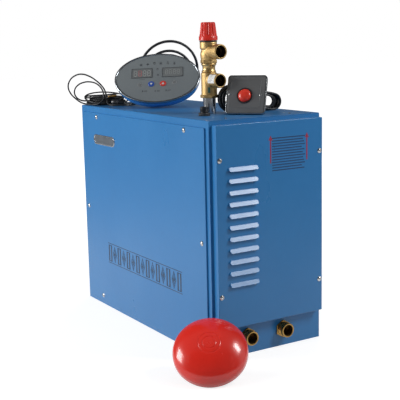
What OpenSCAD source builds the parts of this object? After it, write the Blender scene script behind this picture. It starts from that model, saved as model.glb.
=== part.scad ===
// Steam shower generator: sheet-metal housing with a relief-valve train, two water ports,
// a wired control panel, a wired push switch and a loose steam head.
// The origin is the centre of the housing's base. +X points to the louvred end with the ports,
// -Y to the long side with the badge, +Z up. All lengths are in millimetres.

/* [Housing] */
// Length of the housing along X
housing_l = 600; // [500:10:760]
// Width of the housing along Y
housing_w = 280; // [230:10:360]
// Height of the housing
housing_h = 500; // [420:10:620]
// Thickness of the sheet metal
sheet_t = 1.2; // [0.8:0.1:2]
// Outer radius of the two long folds at the top
fold_r = 3; // [2:0.5:8]
// Width of the folded edges inside the housing
flange_w = 22; // [12:1:40]

/* [Side panels] */
// Bare margin of the housing beside a side panel
side_margin_x = 12.5; // [8:0.5:30]
// Bare margin of the housing above a side panel
side_margin_top = 15; // [8:0.5:40]
// Bare margin of the housing below a side panel
side_margin_bottom = 8; // [4:0.5:40]
// How far a side panel stands out of the housing
side_proud = 3.6; // [2.4:0.1:8]
// Distance of a side panel's screws from its own edges
side_screw_in = 16; // [8:1:30]
// Distance of the upper and lower screws from the middle of the housing's length
side_screw_x = 209; // [120:1:230]

/* [End covers] */
// Depth of the louvred cover
louvre_cover_d = 18; // [12:1:40]
// Depth of the rear cover
rear_cover_d = 13; // [10:1:40]
// Bare margin of the housing beside an end cover
cover_margin_y = 6; // [3:0.5:20]
// Bare margin of the housing above an end cover
cover_margin_top = 8.5; // [4:0.5:20]
// Height of the bare strip of the housing below an end cover
cover_base = 68; // [55:1:120]
// Distance of a cover's screws from its side edges
cover_screw_y = 7.5; // [5:0.5:15]
// Distance of a cover's screws from its middle height
cover_screw_z = 141; // [80:1:170]

/* [Louvres] */
// Number of louvres in a cover
louvre_count = 11; // [5:1:13]
// Distance from louvre to louvre
louvre_pitch = 24; // [20:0.5:28]
// Length of a louvre
louvre_l = 73; // [40:1:110]
// Height of a louvre's hood
louvre_h = 9; // [8:0.5:16]
// How far a louvre's hood stands out
louvre_out = 6.5; // [5:0.5:12]
// Distance from the cover's left edge to the louvres
louvre_side = 26; // [20:1:60]
// How far the middle louvre is above the cover's middle
louvre_rise = 2; // [-10:0.5:10]

/* [Screws] */
// Radius of a screw's head
screw_head_r = 5.5; // [3:0.25:6]
// Radius of a screw's shank
screw_r = 2.5; // [1.5:0.25:3]
// Depth of a screw's head
screw_head_h = 3.2; // [1.5:0.1:4]
// Width of the cross slots in a screw's head
screw_slot_w = 1.2; // [0.5:0.1:1.5]
// How far a screw reaches into the housing
screw_bite = 5; // [4:0.5:12]

/* [Badge] */
// Length of the blank badge
badge_l = 112; // [60:2:160]
// Height of the blank badge
badge_h = 24; // [12:1:40]
// Thickness of the blank badge
badge_t = 2.4; // [1:0.2:5]
// Place of the badge along X
badge_x = -170; // [-200:1:0]
// Distance of the badge below the top of the housing
badge_down = 79; // [50:1:140]

/* [Water ports] */
// Outer radius of a port
port_r = 15.5; // [13:0.5:20]
// Inner radius of a port, for a 3/4 inch thread
port_bore_r = 12.05; // [9:0.05:12.5]
// How far a port stands out of the housing
port_out = 20; // [12:1:50]
// How far a port runs inside the housing
port_in = 24; // [14:1:60]
// Height of the ports above the base
port_z = 38; // [24:1:45]
// Place of the inlet along Y
inlet_y = -53; // [-80:1:-30]
// Place of the drain along Y
drain_y = 40; // [30:1:80]

/* [Valve train] */
// Place of the valve train along X
valve_x = 145; // [60:1:160]
// Place of the valve train along Y
valve_y = -39; // [-70:1:-30]
// Outer radius of the steam outlet pipe
nipple_r = 14; // [12:0.5:15]
// Inner radius of the steam outlet pipe
nipple_bore_r = 10.5; // [8:0.5:11]
// Height of the bare pipe between the housing and the tee
nipple_rise = 33.5; // [20:0.5:60]
// Radius of the tee's body
tee_r = 17.2; // [16.5:0.1:24]
// Height of the tee's body above its hexagon
tee_h = 49; // [40:0.5:70]
// Outer radius of the side outlets
outlet_r = 15.5; // [14:0.5:18]
// Inner radius of the side outlets, for a 3/4 inch thread
outlet_bore_r = 12.05; // [9:0.05:12.5]
// Depth of the round socket in a side outlet
outlet_depth = 16; // [10:1:20]
// Distance from the valve's axis to the tee's mouth
tee_reach = 46; // [36:0.5:70]
// Distance from the valve's axis to the relief valve's mouth
relief_reach = 49.5; // [36:0.5:70]
// Height of the relief valve's neck
neck_h = 18.5; // [12:0.5:40]
// Radius of the relief valve's neck
neck_r = 14.7; // [13.5:0.1:16]
// Radius of the relief valve's bonnet
bonnet_r = 18.6; // [16:0.1:24]
// Height of the red cap
cap_h = 38.5; // [26:0.5:50]
// Radius of the red cap at its collar
cap_r = 20.2; // [18:0.1:26]
// Radius of the spindle that carries the red cap
spindle_r = 6; // [4:0.25:8]

/* [Panel socket] */
// Place of the socket along X
socket_x = 192; // [170:1:230]
// Place of the socket along Y
socket_y = -82; // [-100:1:-75]
// Radius of the socket's body
socket_r = 9; // [7:0.5:12]
// Height of the socket
socket_h = 19; // [14:1:30]

/* [Control panel] */
// Half of the control panel's width
panel_a = 102; // [80:1:115]
// Half of the control panel's height
panel_b = 69.5; // [55:0.5:80]
// Depth of the control panel's shell behind its rim
panel_d = 29; // [20:1:40]
// Direction that the control panel faces, turned from -Y towards +X
panel_turn = 54; // [45:1:60]
// Angle that the control panel leans back
panel_lean = 37; // [30:1:45]

/* [Push switch] */
// Width and height of the switch plate
switch_w = 86; // [80:1:90]
// Thickness of the switch plate
switch_t = 7; // [5:0.5:10]
// Depth of the box behind the switch plate
switch_box_d = 28; // [18:1:28]
// Radius of the red button
button_r = 14; // [9:0.5:18]
// Travel of the red button
button_travel = 3; // [2:0.5:5]
// Direction that the switch faces, turned from -Y towards +X
switch_turn = 41; // [35:1:50]
// Angle that the switch leans back
switch_lean = 23; // [15:1:30]

/* [Steam head] */
// Radius of the steam head
head_r = 75; // [60:1:90]
// Height of the steam head's dome
head_h = 45; // [30:1:60]
// Wall thickness of the steam head
head_t = 3; // [2:0.5:5]
// Radius of the steam head's threaded stem
head_stem_r = 13.2; // [9:0.1:20]
// Angle that the steam head leans back
head_lean = 50; // [35:1:60]

/* [Cables] */
// Diameter of the control panel's cable
panel_cable_d = 6.4; // [5:0.2:8]
// Diameter of the sensor's lead
sensor_lead_d = 3.8; // [3:0.2:5]
// Diameter of the switch's cable
switch_cable_d = 5; // [4:0.2:6]

/* [Hidden] */
$fn = 64;
gap = 0.3; // clearance between pieces that rest on or beside each other
screw_hole_r = screw_r + 0.1;
fit = 0.05; // radial clearance of a pipe in its socket and of the cap on its spindle
x_end = housing_l / 2;
y_side = housing_w / 2;
top_z = housing_h;
inner_w = housing_w - 2 * (sheet_t + gap);

side_l = housing_l - 2 * side_margin_x;
side_h = housing_h - side_margin_top - side_margin_bottom;
side_z = side_margin_bottom + side_h / 2;
side_screws_x = [-side_screw_x, side_screw_x];
side_screws_z = [side_margin_bottom + side_screw_in, top_z - side_margin_top - side_screw_in * 0.6];

cover_w = housing_w - 2 * cover_margin_y;
cover_h = housing_h - cover_margin_top - cover_base;
cover_z = cover_base + cover_h / 2;
cover_screws_y = cover_w / 2 - cover_screw_y;
cover_boss_r = 6; // spacer behind a cover screw
louvre_y = -cover_w / 2 + louvre_side + louvre_l / 2;
louvre_z = cover_z + louvre_rise;
louvre_wall = 1.2;

port_flange_r = port_r + 4;
port_flange_t = 3;
port_nut_h = 6;

hex_h = 6.5;
hex_r = (2 * tee_r - 0.4) / sqrt(3);
hex_turn = 15;
tee_z = top_z + nipple_rise + hex_h;
tee_top = tee_z + tee_h;
tee_outlet_z = tee_z + tee_h * 0.64;
pipe_lap = 14; // how far a pipe runs into the socket that holds it
nipple_below = 26; // length of the pipe inside the housing
nipple_l = nipple_below + nipple_rise;
nipple_end_r = nipple_r - 1;
neck_end_r = neck_r - 1.5;
passage_r = nipple_bore_r - 1; // way for the water inside the brass
locknut_h = 8;
relief_z = tee_top + neck_h;
neck_lap = 5; // how far the neck runs into the relief valve
neck_l = pipe_lap + neck_h + neck_lap;
relief_hex_h = 7.5;
waist_r = neck_r + 0.8;
waist_h = 23;
relief_outlet_z = relief_z + relief_hex_h + 17.5;
bonnet_z = relief_z + relief_hex_h + waist_h;
bonnet_h = 15;
bonnet_cone_h = 6;
ring_z = bonnet_z + bonnet_h;
ring_h = 3;
cap_z = ring_z + ring_h + gap;
cap_collar_h = 9;
cap_top_r = cap_r - 4.4;
cap_edge = 1.8;
flute_count = 10;
flute_r = 3.2;
flute_lean = 5.5;
spindle_h = 22;
tag_w = 24;
tag_h = 18;
tag_t = 1.2;
tag_up = 4; // how far its middle stands above the outlet's axis
outlet_neck_r = outlet_r - 1.5;

socket_nut_h = 6;
socket_bore_r = socket_r - 3;
socket_tail_r = socket_r - 1.5;
socket_tail = 10; // length of the socket inside the housing
socket_floor = 4;

rim_t = 7;
face_drop = 1.2;
face_t = 3;
rim_floor = 2; // thickness of the rim behind the face
rim_wall = 4;
shell_in = 7; // how much smaller the shell is at its back
shell_edge = 4;
slice_t = 0.5;
panel_roll = 2;
panel_at = [-75, -45, top_z + 71]; // centre of the control panel's face
window_w = 50;
window_h = 27;
window_x = 36.5;
window_y = 14.5;
window_t = 0.8;
key_r = 7.6;
key_h = 1.4;
key_x = 14;
key_y = -17;
gland_wall = 3.5;
panel_gland_l = 14;
sensor_gland_l = 7;
sensor_exit = [-60, -20]; // where the sensor's lead leaves the back of the panel

switch_at = [228.5, 0.5, top_z + 42.5]; // centre of the switch plate's face
switch_rim = 2.2;
switch_r = 7; // radius of its corners
switch_back = 2; // thickness of the frame behind the plate
switch_in = switch_w - 2 * switch_rim;
switch_box_w = 50;
button_x = -3;
button_y = -3;
collar_t = 2;
collar_r = button_r + 3.5;
button_hole_r = button_r + 2;
button_out = 9;
button_dome_r = button_r * 1.25;
button_stem_r = button_r - 6;
button_stem_l = 8; // length of the button's stem inside the box
button_gap = 0.5; // clearance round the button
switch_gland_l = 7;

head_at = [x_end + 72, -y_side - 51]; // centre of the steam head's rim, on the floor plan
head_turn = 54;
head_rim_z = head_r * cos(head_lean);
head_skirt = 8;
head_plate_t = 3;
head_stem_bore_r = head_stem_r - 3.5;
head_stem_l = (head_r - head_stem_r) / tan(head_lean);

plug_r = 8;
plug_l = 34;

coil_r = 74; // middle of the turns of the coil behind the control panel
coil_wide = 11;
coil_deep = 20;
coil_turn = 74;
coil_lean = -12;
coil_z = top_z + gap + (coil_r + coil_wide / 2) * cos(coil_lean) + coil_deep / 2 * sin(-coil_lean);
coil_at = [-143, 25.5, coil_z];

bundle_at = [-283, -78]; // centre of the sensor lead's coil at the rear corner
bundle_r = 40;
bundle_wide = 16;
bundle_h = 18;

hank_at = [170, 1];
hank_turn = 83;
hank_l = 103;
hank_big_r = 30;
hank_small_r = 19;
hank_deep = 18;

// Routes of the cables, from the piece that each one leaves
panel_route = [[-107.3, -21.5, 40.9], [-112, -18.2, 36.6], [-119, -15, 30.5], [-128, -12.6, 24],
    [-138, -10.8, 19], [-146, -11.8, 17.2], [-151.6, -14.9, 17.9], [-155.3, -19.4, 20.9]];
tail_route = [[-159.1, -27.3, 23.2], [-157.5, -32, 24], [-154.6, -38, 22.6], [-152.6, -45, 18.2],
    [-154, -52.5, 11.5], [-160.5, -60, 6.4], [-169.5, -66, 4.4], [-179, -71.8, 4.8], [-188, -77, 7.6]];
sensor_route = [[-132.5, -77.5, 24.5], [-138, -75, 18], [-148, -73, 9], [-161, -72.5, 3.6], [-176, -76, 2.4],
    [-187, -86, 2.4], [-198, -97, 2.4], [-210, -103.5, 2.4], [-221, -104.5, 4.5], [-230, -103.5, 12],
    [-237, -101.5, 24], [-243.5, -101, 35], [-253, -104.5, 47.5], [-264, -113.5, 60], [-278, -125, 71],
    [-295, -139, 77], [-310, -151, 73], [-321.5, -160.5, 61], [-325, -164, 45], [-321, -160, 29],
    [-310, -151, 15], [-297, -141.5, 5.5], [-283, -133.5, 2.5], [-267, -129.5, 2.4], [-250, -127, 2.6],
    [-238, -120.5, 6], [-233.5, -112, 15], [-237, -108.5, 28], [-245, -109.5, 41], [-257, -115, 52],
    [-272, -124.5, 57.5], [-289, -137.5, 56.5], [-303, -149, 48], [-309, -154.5, 35], [-308, -152.5, 22.5],
    [-304.5, -144.5, 13.5], [-302.5, -134, 10], [-301.5, -124.5, 9.3]];
switch_route = [[201.8, 31.3, 24.8], [198.2, 36.6, 21.8], [195.2, 42, 18.8], [192.4, 47, 16.8],
    [190.3, 51, 15.9], [188.4, 54.8, 15.3]];

// ---- Helpers ----

// Places a child whose face looks along local +Z so that it faces a turn and leans back
module facing(at, turn, lean, roll = 0)
    translate(at) rotate([0, 0, turn]) rotate([90 - lean, 0, 0]) rotate([0, 0, roll]) children();

// A flat outline w by h with rounded corners, centred
module rounded(w, h, r) {
    square([w - 2 * r, h], center = true);
    square([w, h - 2 * r], center = true);
    for (x = [-1, 1], y = [-1, 1])
        translate([x * (w / 2 - r), y * (h / 2 - r)]) circle(r);
}

// An ellipse with the half widths a and b
module oval(a, b) polygon([for (i = [0:5:355]) [a * cos(i), b * sin(i)]]);

function unit(v) = v / norm(v);
function along(p, i) = unit(p[min(i + 1, len(p) - 1)] - p[max(i - 1, 0)]);
function mix(a, b, c, d, t) = 0.5 * (2 * b + (c - a) * t + (2 * a - 5 * b + 4 * c - d) * t * t
    + (3 * b - a - 3 * c + d) * t * t * t);
// A smooth curve through the points, with a number of steps from each to the next
function smooth(p, steps) = let (n = len(p) - 1)
    concat([for (i = [0:n - 1], s = [0:steps - 1])
        mix(p[max(i - 1, 0)], p[i], p[i + 1], p[min(i + 2, n)], s / steps)], [p[n]]);
// Points raised by z
function raised(p, z) = [for (q = p) q + [0, 0, z]];

// A round tube of diameter d along the points; no part of the route runs along across
module tube(points, d, sides, across) {
    n = len(points);
    rings = [for (i = [0:n - 1]) let (t = along(points, i), a = unit(cross(t, across)), b = cross(t, a))
        for (k = [0:sides - 1]) points[i] + d / 2 * (cos(360 * k / sides) * a + sin(360 * k / sides) * b)];
    skin = [for (i = [0:n - 2], k = [0:sides - 1]) let (m = (k + 1) % sides)
        [i * sides + k, i * sides + m, (i + 1) * sides + m, (i + 1) * sides + k]];
    first = [for (k = [sides - 1:-1:0]) k];
    last = [for (k = [0:sides - 1]) (n - 1) * sides + k];
    polyhedron(points = rings, faces = concat(skin, [first, last]));
}

// A screw with a domed head and a cross recess; its head rests on z = 0 and its shank is l long
module screw(l) {
    dome_r = screw_head_r * 1.25;
    difference() {
        intersection() {
            translate([0, 0, screw_head_h - dome_r]) sphere(dome_r);
            cylinder(r = screw_head_r, h = screw_head_h);
        }
        for (turn = [0, 90])
            rotate([0, 0, turn]) translate([0, 0, screw_head_h])
                cube([screw_head_r * 1.1, screw_slot_w, screw_head_h * 0.9], center = true);
    }
    translate([0, 0, -l]) cylinder(r = screw_r, h = l);
}

// ---- Housing ----

// Outline of the housing seen from its end, smaller by inset and reaching below the base by foot
module wrap_outline(inset, foot = 0) {
    w = housing_w - 2 * inset;
    h = housing_h - inset;
    r = fold_r - min(inset, fold_r - 0.5);
    translate([-w / 2, -foot]) square([w, h - r + foot]);
    translate([-w / 2 + r, -foot]) square([w - 2 * r, h + foot]);
    for (side = [-1, 1])
        translate([side * (w / 2 - r), h - r]) circle(r);
}

module side_screw_places()
    for (x = side_screws_x, z = side_screws_z)
        translate([x, z]) children();

module side_screw_middles()
    for (side = [-1, 1])
        translate([side * (side_l / 2 - side_screw_in), side_z]) children();

// Turns a child drawn in X and Z so that it faces a long side, -1 for the front and 1 for the back
module on_side(side)
    mirror([0, side > 0 ? 1 : 0, 0]) translate([0, -y_side, 0]) rotate([90, 0, 0]) children();

module side_holes(r)
    for (side = [-1, 1])
        on_side(side) translate([0, 0, -flange_w]) {
            side_screw_places() cylinder(r = r, h = 2 * flange_w);
            side_screw_middles() cylinder(r = r, h = 2 * flange_w);
        }

module body_wrap()
    color("#4a86c0")
        difference() {
            rotate([90, 0, 90])
                translate([0, 0, -x_end]) linear_extrude(housing_l)
                    difference() {
                        wrap_outline(0);
                        wrap_outline(sheet_t, 1);
                    }
            side_holes(screw_hole_r);
            translate([valve_x, valve_y, top_z - 2 * fold_r]) cylinder(r = nipple_r + gap, h = 4 * fold_r);
            translate([socket_x, socket_y, top_z - 2 * fold_r])
                cylinder(r = socket_tail_r + gap, h = 4 * fold_r);
        }

module floor_pan()
    color("#3f6fa3") {
        pan_l = housing_l - 2 * (sheet_t + gap);
        difference() {
            translate([-pan_l / 2, -inner_w / 2, 0]) cube([pan_l, inner_w, flange_w]);
            translate([-pan_l / 2 + sheet_t, -inner_w / 2 + sheet_t, sheet_t])
                cube([pan_l - 2 * sheet_t, inner_w - 2 * sheet_t, flange_w]);
            on_ports() translate([0, 0, -port_in]) cylinder(r = port_flange_r + 2, h = port_in + port_out);
            side_holes(screw_hole_r);
        }
    }

// Puts a child at each water port, looking out along local +Z from the end wall's face
module on_ports()
    for (y = [inlet_y, drain_y])
        translate([x_end, y, port_z]) rotate([0, 90, 0]) children();

// Turns a child drawn in Y and Z so that it faces an end: 1 for the louvred end, -1 for the rear
module on_end(end)
    rotate([0, 0, end > 0 ? 0 : 180]) translate([x_end, 0, 0]) rotate([90, 0, 90]) children();

module cover_screw_places()
    for (y = [-1, 1], z = [-1, 1])
        translate([y * cover_screws_y, cover_z + z * cover_screw_z]) children();

// A wall that closes one end, with its edges folded inwards
module end_wall(end) {
    h = housing_h - sheet_t - gap;
    on_end(end)
        difference() {
            translate([0, 0, -flange_w]) linear_extrude(flange_w) wrap_outline(sheet_t + gap);
            translate([-inner_w / 2 + sheet_t, flange_w + gap, -flange_w - 1])
                cube([inner_w - 2 * sheet_t, h - flange_w - gap - sheet_t, flange_w + 1 - sheet_t]);
            translate([-inner_w / 2 - 1, -1, -flange_w - 1])
                cube([inner_w + 2, flange_w + 1 + gap, flange_w + 1 - sheet_t]);
            cover_screw_places() translate([0, 0, -flange_w]) cylinder(r = screw_hole_r, h = 2 * flange_w);
        }
}

module port_end_wall()
    color("#3d699d")
        difference() {
            end_wall(1);
            on_ports() translate([0, 0, -port_in]) cylinder(r = port_r + gap, h = port_in + port_out);
            side_holes(screw_hole_r);
        }

module rear_end_wall()
    color("#3d699d")
        difference() {
            end_wall(-1);
            side_holes(screw_hole_r);
        }

// A shallow pan, open at the back, that closes a long side
module long_panel(side)
    on_side(side)
        difference() {
            translate([0, side_z, 0]) linear_extrude(side_proud) rounded(side_l, side_h, 2);
            translate([0, side_z, -1]) linear_extrude(side_proud + 1 - sheet_t)
                square([side_l - 2 * sheet_t, side_h - 2 * sheet_t], center = true);
            side_screw_places() cylinder(r = screw_hole_r, h = 2 * side_proud);
            side_screw_middles() cylinder(r = screw_hole_r, h = 2 * side_proud);
        }

module side_panel() color("#4a86c0") long_panel(-1);

module back_panel() color("#4a86c0") long_panel(1);

// The hood's outline seen from the front, smaller by inset
module hood_outline(inset) {
    r = louvre_h / 2 - inset;
    square([louvre_l - louvre_h, 2 * r], center = true);
    for (side = [-1, 1])
        translate([side * (louvre_l - louvre_h) / 2, 0]) circle(r);
}

// The sloped block that a hood is cut from, set back by inset; it falls outwards from the top edge
module hood_slope(inset)
    translate([-louvre_l / 2, 0, 0]) rotate([90, 0, 90]) linear_extrude(louvre_l)
        polygon([[-louvre_h, -4 * inset], [louvre_h / 2 - inset, -4 * inset], [louvre_h / 2 - inset, 0],
            [-louvre_h / 2 + 1, louvre_out - inset], [-louvre_h, louvre_out - inset]]);

module hood()
    intersection() {
        linear_extrude(louvre_out) hood_outline(0);
        hood_slope(0);
    }

module hood_inside()
    intersection() {
        translate([0, 0, -2 * sheet_t]) linear_extrude(louvre_out + 2 * sheet_t)
            union() {
                hood_outline(louvre_wall);
                translate([0, -louvre_h / 2]) square([louvre_l - louvre_h, louvre_h], center = true);
            }
        hood_slope(louvre_wall);
    }

module louvre_places()
    for (i = [0:louvre_count - 1])
        translate([louvre_y, louvre_z + (i - (louvre_count - 1) / 2) * louvre_pitch, 0]) children();

// A pan with louvres that closes one end
module end_cover(end, d)
    on_end(end)
        difference() {
            union() {
                difference() {
                    translate([0, cover_z, 0]) linear_extrude(d) rounded(cover_w, cover_h, 1.5);
                    translate([0, cover_z, -1]) linear_extrude(d + 1 - sheet_t)
                        square([cover_w - 2 * sheet_t, cover_h - 2 * sheet_t], center = true);
                }
                translate([0, 0, d]) louvre_places() hood();
                cover_screw_places() cylinder(r = cover_boss_r, h = d);
            }
            translate([0, 0, d]) louvre_places() hood_inside();
            cover_screw_places() cylinder(r = screw_hole_r, h = 2 * d);
        }

module louvre_cover() color("#37639a") end_cover(1, louvre_cover_d);

module rear_cover() color("#37639a") end_cover(-1, rear_cover_d);

module side_screws()
    color("#c8ccd0")
        for (side = [-1, 1])
            on_side(side) translate([0, 0, side_proud]) {
                side_screw_places() screw(side_proud + screw_bite);
                side_screw_middles() screw(side_proud + screw_bite);
            }

module cover_screws()
    color("#c8ccd0") {
        on_end(1) translate([0, 0, louvre_cover_d]) cover_screw_places() screw(louvre_cover_d + screw_bite);
        on_end(-1) translate([0, 0, rear_cover_d]) cover_screw_places() screw(rear_cover_d + screw_bite);
    }

module badge()
    color("#d5d8dc")
        on_side(-1) translate([badge_x, top_z - badge_down, side_proud])
            linear_extrude(badge_t) rounded(badge_l, badge_h, badge_h / 2 - 0.5);

// ---- Water ports ----

module port(y)
    translate([x_end, y, port_z]) rotate([0, 90, 0])
        difference() {
            union() {
                translate([0, 0, -port_in]) cylinder(r = port_r, h = port_in + port_out);
                cylinder(r = port_flange_r, h = port_flange_t, $fn = 6);
            }
            translate([0, 0, -port_in - 1]) cylinder(r = port_bore_r, h = port_in + port_out + 2);
        }

module inlet_port() color("#c49a52") port(inlet_y);

module drain_port() color("#c49a52") port(drain_y);

module port_locknuts()
    color("#b08a48")
        on_ports()
            translate([0, 0, -sheet_t - port_nut_h])
                difference() {
                    cylinder(r = port_flange_r, h = port_nut_h, $fn = 6);
                    translate([0, 0, -1]) cylinder(r = port_r + fit, h = port_nut_h + 2);
                }

// ---- Valve train ----

module at_valve(z = 0) translate([valve_x, valve_y, z]) children();

// Cuts a side outlet at height z: a round socket and the passage behind it
module outlet_cut(z, reach)
    at_valve(z) rotate([0, 90, 0]) {
        translate([0, 0, reach - outlet_depth]) cylinder(r = outlet_bore_r, h = outlet_depth + 1);
        cylinder(r = passage_r, h = reach);
    }

module outlet_boss(z, reach)
    at_valve(z) rotate([0, 90, 0]) {
        cylinder(r = outlet_neck_r, h = reach);
        translate([0, 0, reach - outlet_depth]) cylinder(r = outlet_r, h = outlet_depth);
    }

module outlet_pipe()
    color("#c9ccd1")
        at_valve(top_z - nipple_below)
            difference() {
                union() {
                    cylinder(r = nipple_r, h = nipple_l);
                    cylinder(r = nipple_end_r, h = nipple_l + pipe_lap);
                }
                translate([0, 0, -1]) cylinder(r = nipple_bore_r, h = nipple_l + pipe_lap + 2);
            }

module pipe_locknut()
    color("#b08a48")
        at_valve(top_z - sheet_t - locknut_h)
            difference() {
                cylinder(r = nipple_r + 6, h = locknut_h, $fn = 6);
                translate([0, 0, -1]) cylinder(r = nipple_r + fit, h = locknut_h + 2);
            }

module valve_tee()
    color("#c9a45e")
        difference() {
            union() {
                at_valve(tee_z - hex_h) rotate([0, 0, hex_turn]) cylinder(r = hex_r, h = hex_h, $fn = 6);
                at_valve(tee_z) cylinder(r = tee_r, h = tee_h);
                outlet_boss(tee_outlet_z, tee_reach);
            }
            at_valve(tee_z - hex_h - 1) cylinder(r = nipple_end_r + fit, h = pipe_lap + 1 + gap);
            at_valve(tee_z) cylinder(r = nipple_bore_r, h = tee_h + 1);
            at_valve(tee_top - pipe_lap - gap) cylinder(r = neck_end_r + fit, h = pipe_lap + 1 + gap);
            outlet_cut(tee_outlet_z, tee_reach);
        }

module valve_neck()
    color("#d0ab66")
        at_valve(tee_top)
            difference() {
                union() {
                    cylinder(r = neck_r, h = neck_h);
                    translate([0, 0, -pipe_lap]) cylinder(r = neck_end_r, h = neck_l);
                }
                translate([0, 0, -pipe_lap - 1]) cylinder(r = passage_r, h = neck_l + 2);
            }

module relief_body()
    color("#c9a45e")
        difference() {
            union() {
                at_valve(relief_z) rotate([0, 0, hex_turn]) cylinder(r = hex_r, h = relief_hex_h, $fn = 6);
                at_valve(relief_z + relief_hex_h) cylinder(r = waist_r, h = waist_h);
                at_valve(bonnet_z - bonnet_cone_h) cylinder(r1 = waist_r, r2 = bonnet_r, h = bonnet_cone_h);
                at_valve(bonnet_z) cylinder(r = bonnet_r, h = bonnet_h);
                at_valve(ring_z) cylinder(r = spindle_r, h = ring_h + spindle_h);
                outlet_boss(relief_outlet_z, relief_reach);
            }
            at_valve(relief_z - 1) cylinder(r = neck_end_r + fit, h = neck_lap + 1 + gap);
            at_valve(relief_z) cylinder(r = passage_r, h = relief_hex_h + waist_h);
            outlet_cut(relief_outlet_z, relief_reach);
        }

module cap_ring()
    color("#2a2320")
        at_valve(ring_z)
            difference() {
                cylinder(r = bonnet_r + 0.6, h = ring_h);
                translate([0, 0, -1]) cylinder(r = spindle_r + fit, h = ring_h + 2);
            }

module relief_cap()
    color("#c8342c")
        at_valve(cap_z)
            difference() {
                union() {
                    cylinder(r = cap_r, h = cap_collar_h);
                    translate([0, 0, cap_collar_h])
                        cylinder(r1 = cap_r - 1.2, r2 = cap_top_r, h = cap_h - cap_collar_h - cap_edge);
                    translate([0, 0, cap_h - cap_edge])
                        cylinder(r1 = cap_top_r, r2 = cap_top_r - cap_edge, h = cap_edge);
                }
                translate([0, 0, -1]) cylinder(r = spindle_r + fit, h = spindle_h + 2);
                for (i = [1:flute_count])
                    rotate([0, 0, 360 / flute_count * i]) translate([cap_r + 0.8, 0, cap_collar_h])
                        rotate([0, -flute_lean, 0]) cylinder(r = flute_r, h = cap_h);
            }

module valve_tag()
    color("#e9e9e6")
        at_valve(tee_outlet_z)
            rotate([0, 90, 0])
                translate([0, 0, tee_reach - 2 - tag_w])
                    intersection() {
                        difference() {
                            cylinder(r = outlet_r + tag_t, h = tag_w);
                            translate([0, 0, -1]) cylinder(r = outlet_r + gap / 2, h = tag_w + 2);
                        }
                        translate([-tag_h / 2 - tag_up, -outlet_r - 2, 0]) cube([tag_h, outlet_r, tag_w]);
                    }

module panel_socket()
    color("#1d1e20")
        translate([socket_x, socket_y, top_z])
            difference() {
                union() {
                    cylinder(r = socket_r + 5, h = socket_nut_h, $fn = 6);
                    cylinder(r = socket_r, h = socket_h);
                    translate([0, 0, -socket_tail]) cylinder(r = socket_tail_r, h = socket_tail);
                }
                translate([0, 0, socket_floor]) cylinder(r = socket_bore_r, h = socket_h);
            }

// ---- Control panel ----

module at_panel() facing(panel_at, panel_turn, panel_lean, panel_roll) children();

// A thin slice of the shell behind the rim, smaller than the rim by inset
module shell_slice(behind, inset)
    translate([0, 0, -rim_t - behind - slice_t])
        linear_extrude(slice_t) oval(panel_a - inset, panel_b - inset);

module panel_shell()
    color("#2b62a8")
        at_panel()
            hull() {
                shell_slice(gap, 1);
                shell_slice(panel_d / 2, 3);
                shell_slice(panel_d - shell_edge, shell_in);
                shell_slice(panel_d - slice_t, shell_in + shell_edge);
            }

module panel_rim()
    color("#3a3d42")
        at_panel() translate([0, 0, -rim_t])
            difference() {
                linear_extrude(rim_t) oval(panel_a, panel_b);
                translate([0, 0, rim_floor])
                    linear_extrude(rim_t) oval(panel_a - rim_wall, panel_b - rim_wall);
            }

module panel_face()
    color("#63686d")
        at_panel() translate([0, 0, -face_drop - face_t])
            linear_extrude(face_t) oval(panel_a - rim_wall - gap, panel_b - rim_wall - gap);

module panel_windows()
    color("#7b8083")
        at_panel() translate([0, 0, -face_drop])
            for (side = [-1, 1])
                translate([side * window_x, window_y, 0])
                    linear_extrude(window_t) rounded(window_w, window_h, 1.5);

module panel_buttons()
    color("#2a4c9c")
        at_panel() translate([0, 0, -face_drop])
            for (side = [-1, 1])
                translate([side * key_x, key_y, 0]) cylinder(r = key_r, h = key_h);

module gland(r, l)
    translate([0, 0, -l]) cylinder(r1 = r * 0.62, r2 = r, h = l);

module panel_glands()
    color("#18191b")
        at_panel() translate([0, 0, -rim_t - panel_d]) {
            gland(panel_cable_d / 2 + gland_wall, panel_gland_l);
            translate([sensor_exit[0], sensor_exit[1], 0])
                gland(sensor_lead_d / 2 + gland_wall, sensor_gland_l);
        }

// ---- Cables ----

module panel_cable()
    color("#17181a") {
        tube(smooth(raised(panel_route, top_z), 1), panel_cable_d, 8, [0.5, 1, 0.6]);
        tube(smooth(raised(tail_route, top_z), 1), panel_cable_d, 8, [0.64, -0.77, 0.1]);
    }

// A round coil: a ring of the given width and depth about its own axis
module coil(r, wide, deep)
    rotate_extrude($fn = 72) translate([r, 0]) rounded(wide, deep, min(wide, deep) / 2 - 0.5);

module panel_coil()
    color("#17181a")
        facing(coil_at, coil_turn, coil_lean) coil(coil_r, coil_wide, coil_deep);

// A plug lying along a direction in plan, with its rear end at the start
module plug(at, turn)
    translate([at[0], at[1], top_z + plug_r + gap]) rotate([0, 90, turn]) {
        cylinder(r = plug_r * 0.75, h = plug_l * 0.35);
        translate([0, 0, plug_l * 0.35]) cylinder(r = plug_r, h = plug_l * 0.65);
    }

module panel_plug() color("#202124") plug([-188.6, -77.3], 208);

module sensor_lead()
    color("#17181a")
        tube(smooth(raised(sensor_route, top_z), 2), sensor_lead_d, 8, [0.64, -0.77, 0.05]);

module sensor_coil()
    color("#17181a")
        translate([bundle_at[0], bundle_at[1], top_z + gap + bundle_h / 2])
            coil(bundle_r, bundle_wide, bundle_h);

module sensor_tip()
    color("#b89150")
        translate([-238, -95, top_z + bundle_h + 2 * gap + 3]) rotate([0, 90, 112]) cylinder(r = 3, h = 30);

// ---- Push switch ----

module at_switch(z = 0) facing(switch_at, switch_turn, switch_lean) translate([0, 0, z]) children();

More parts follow.
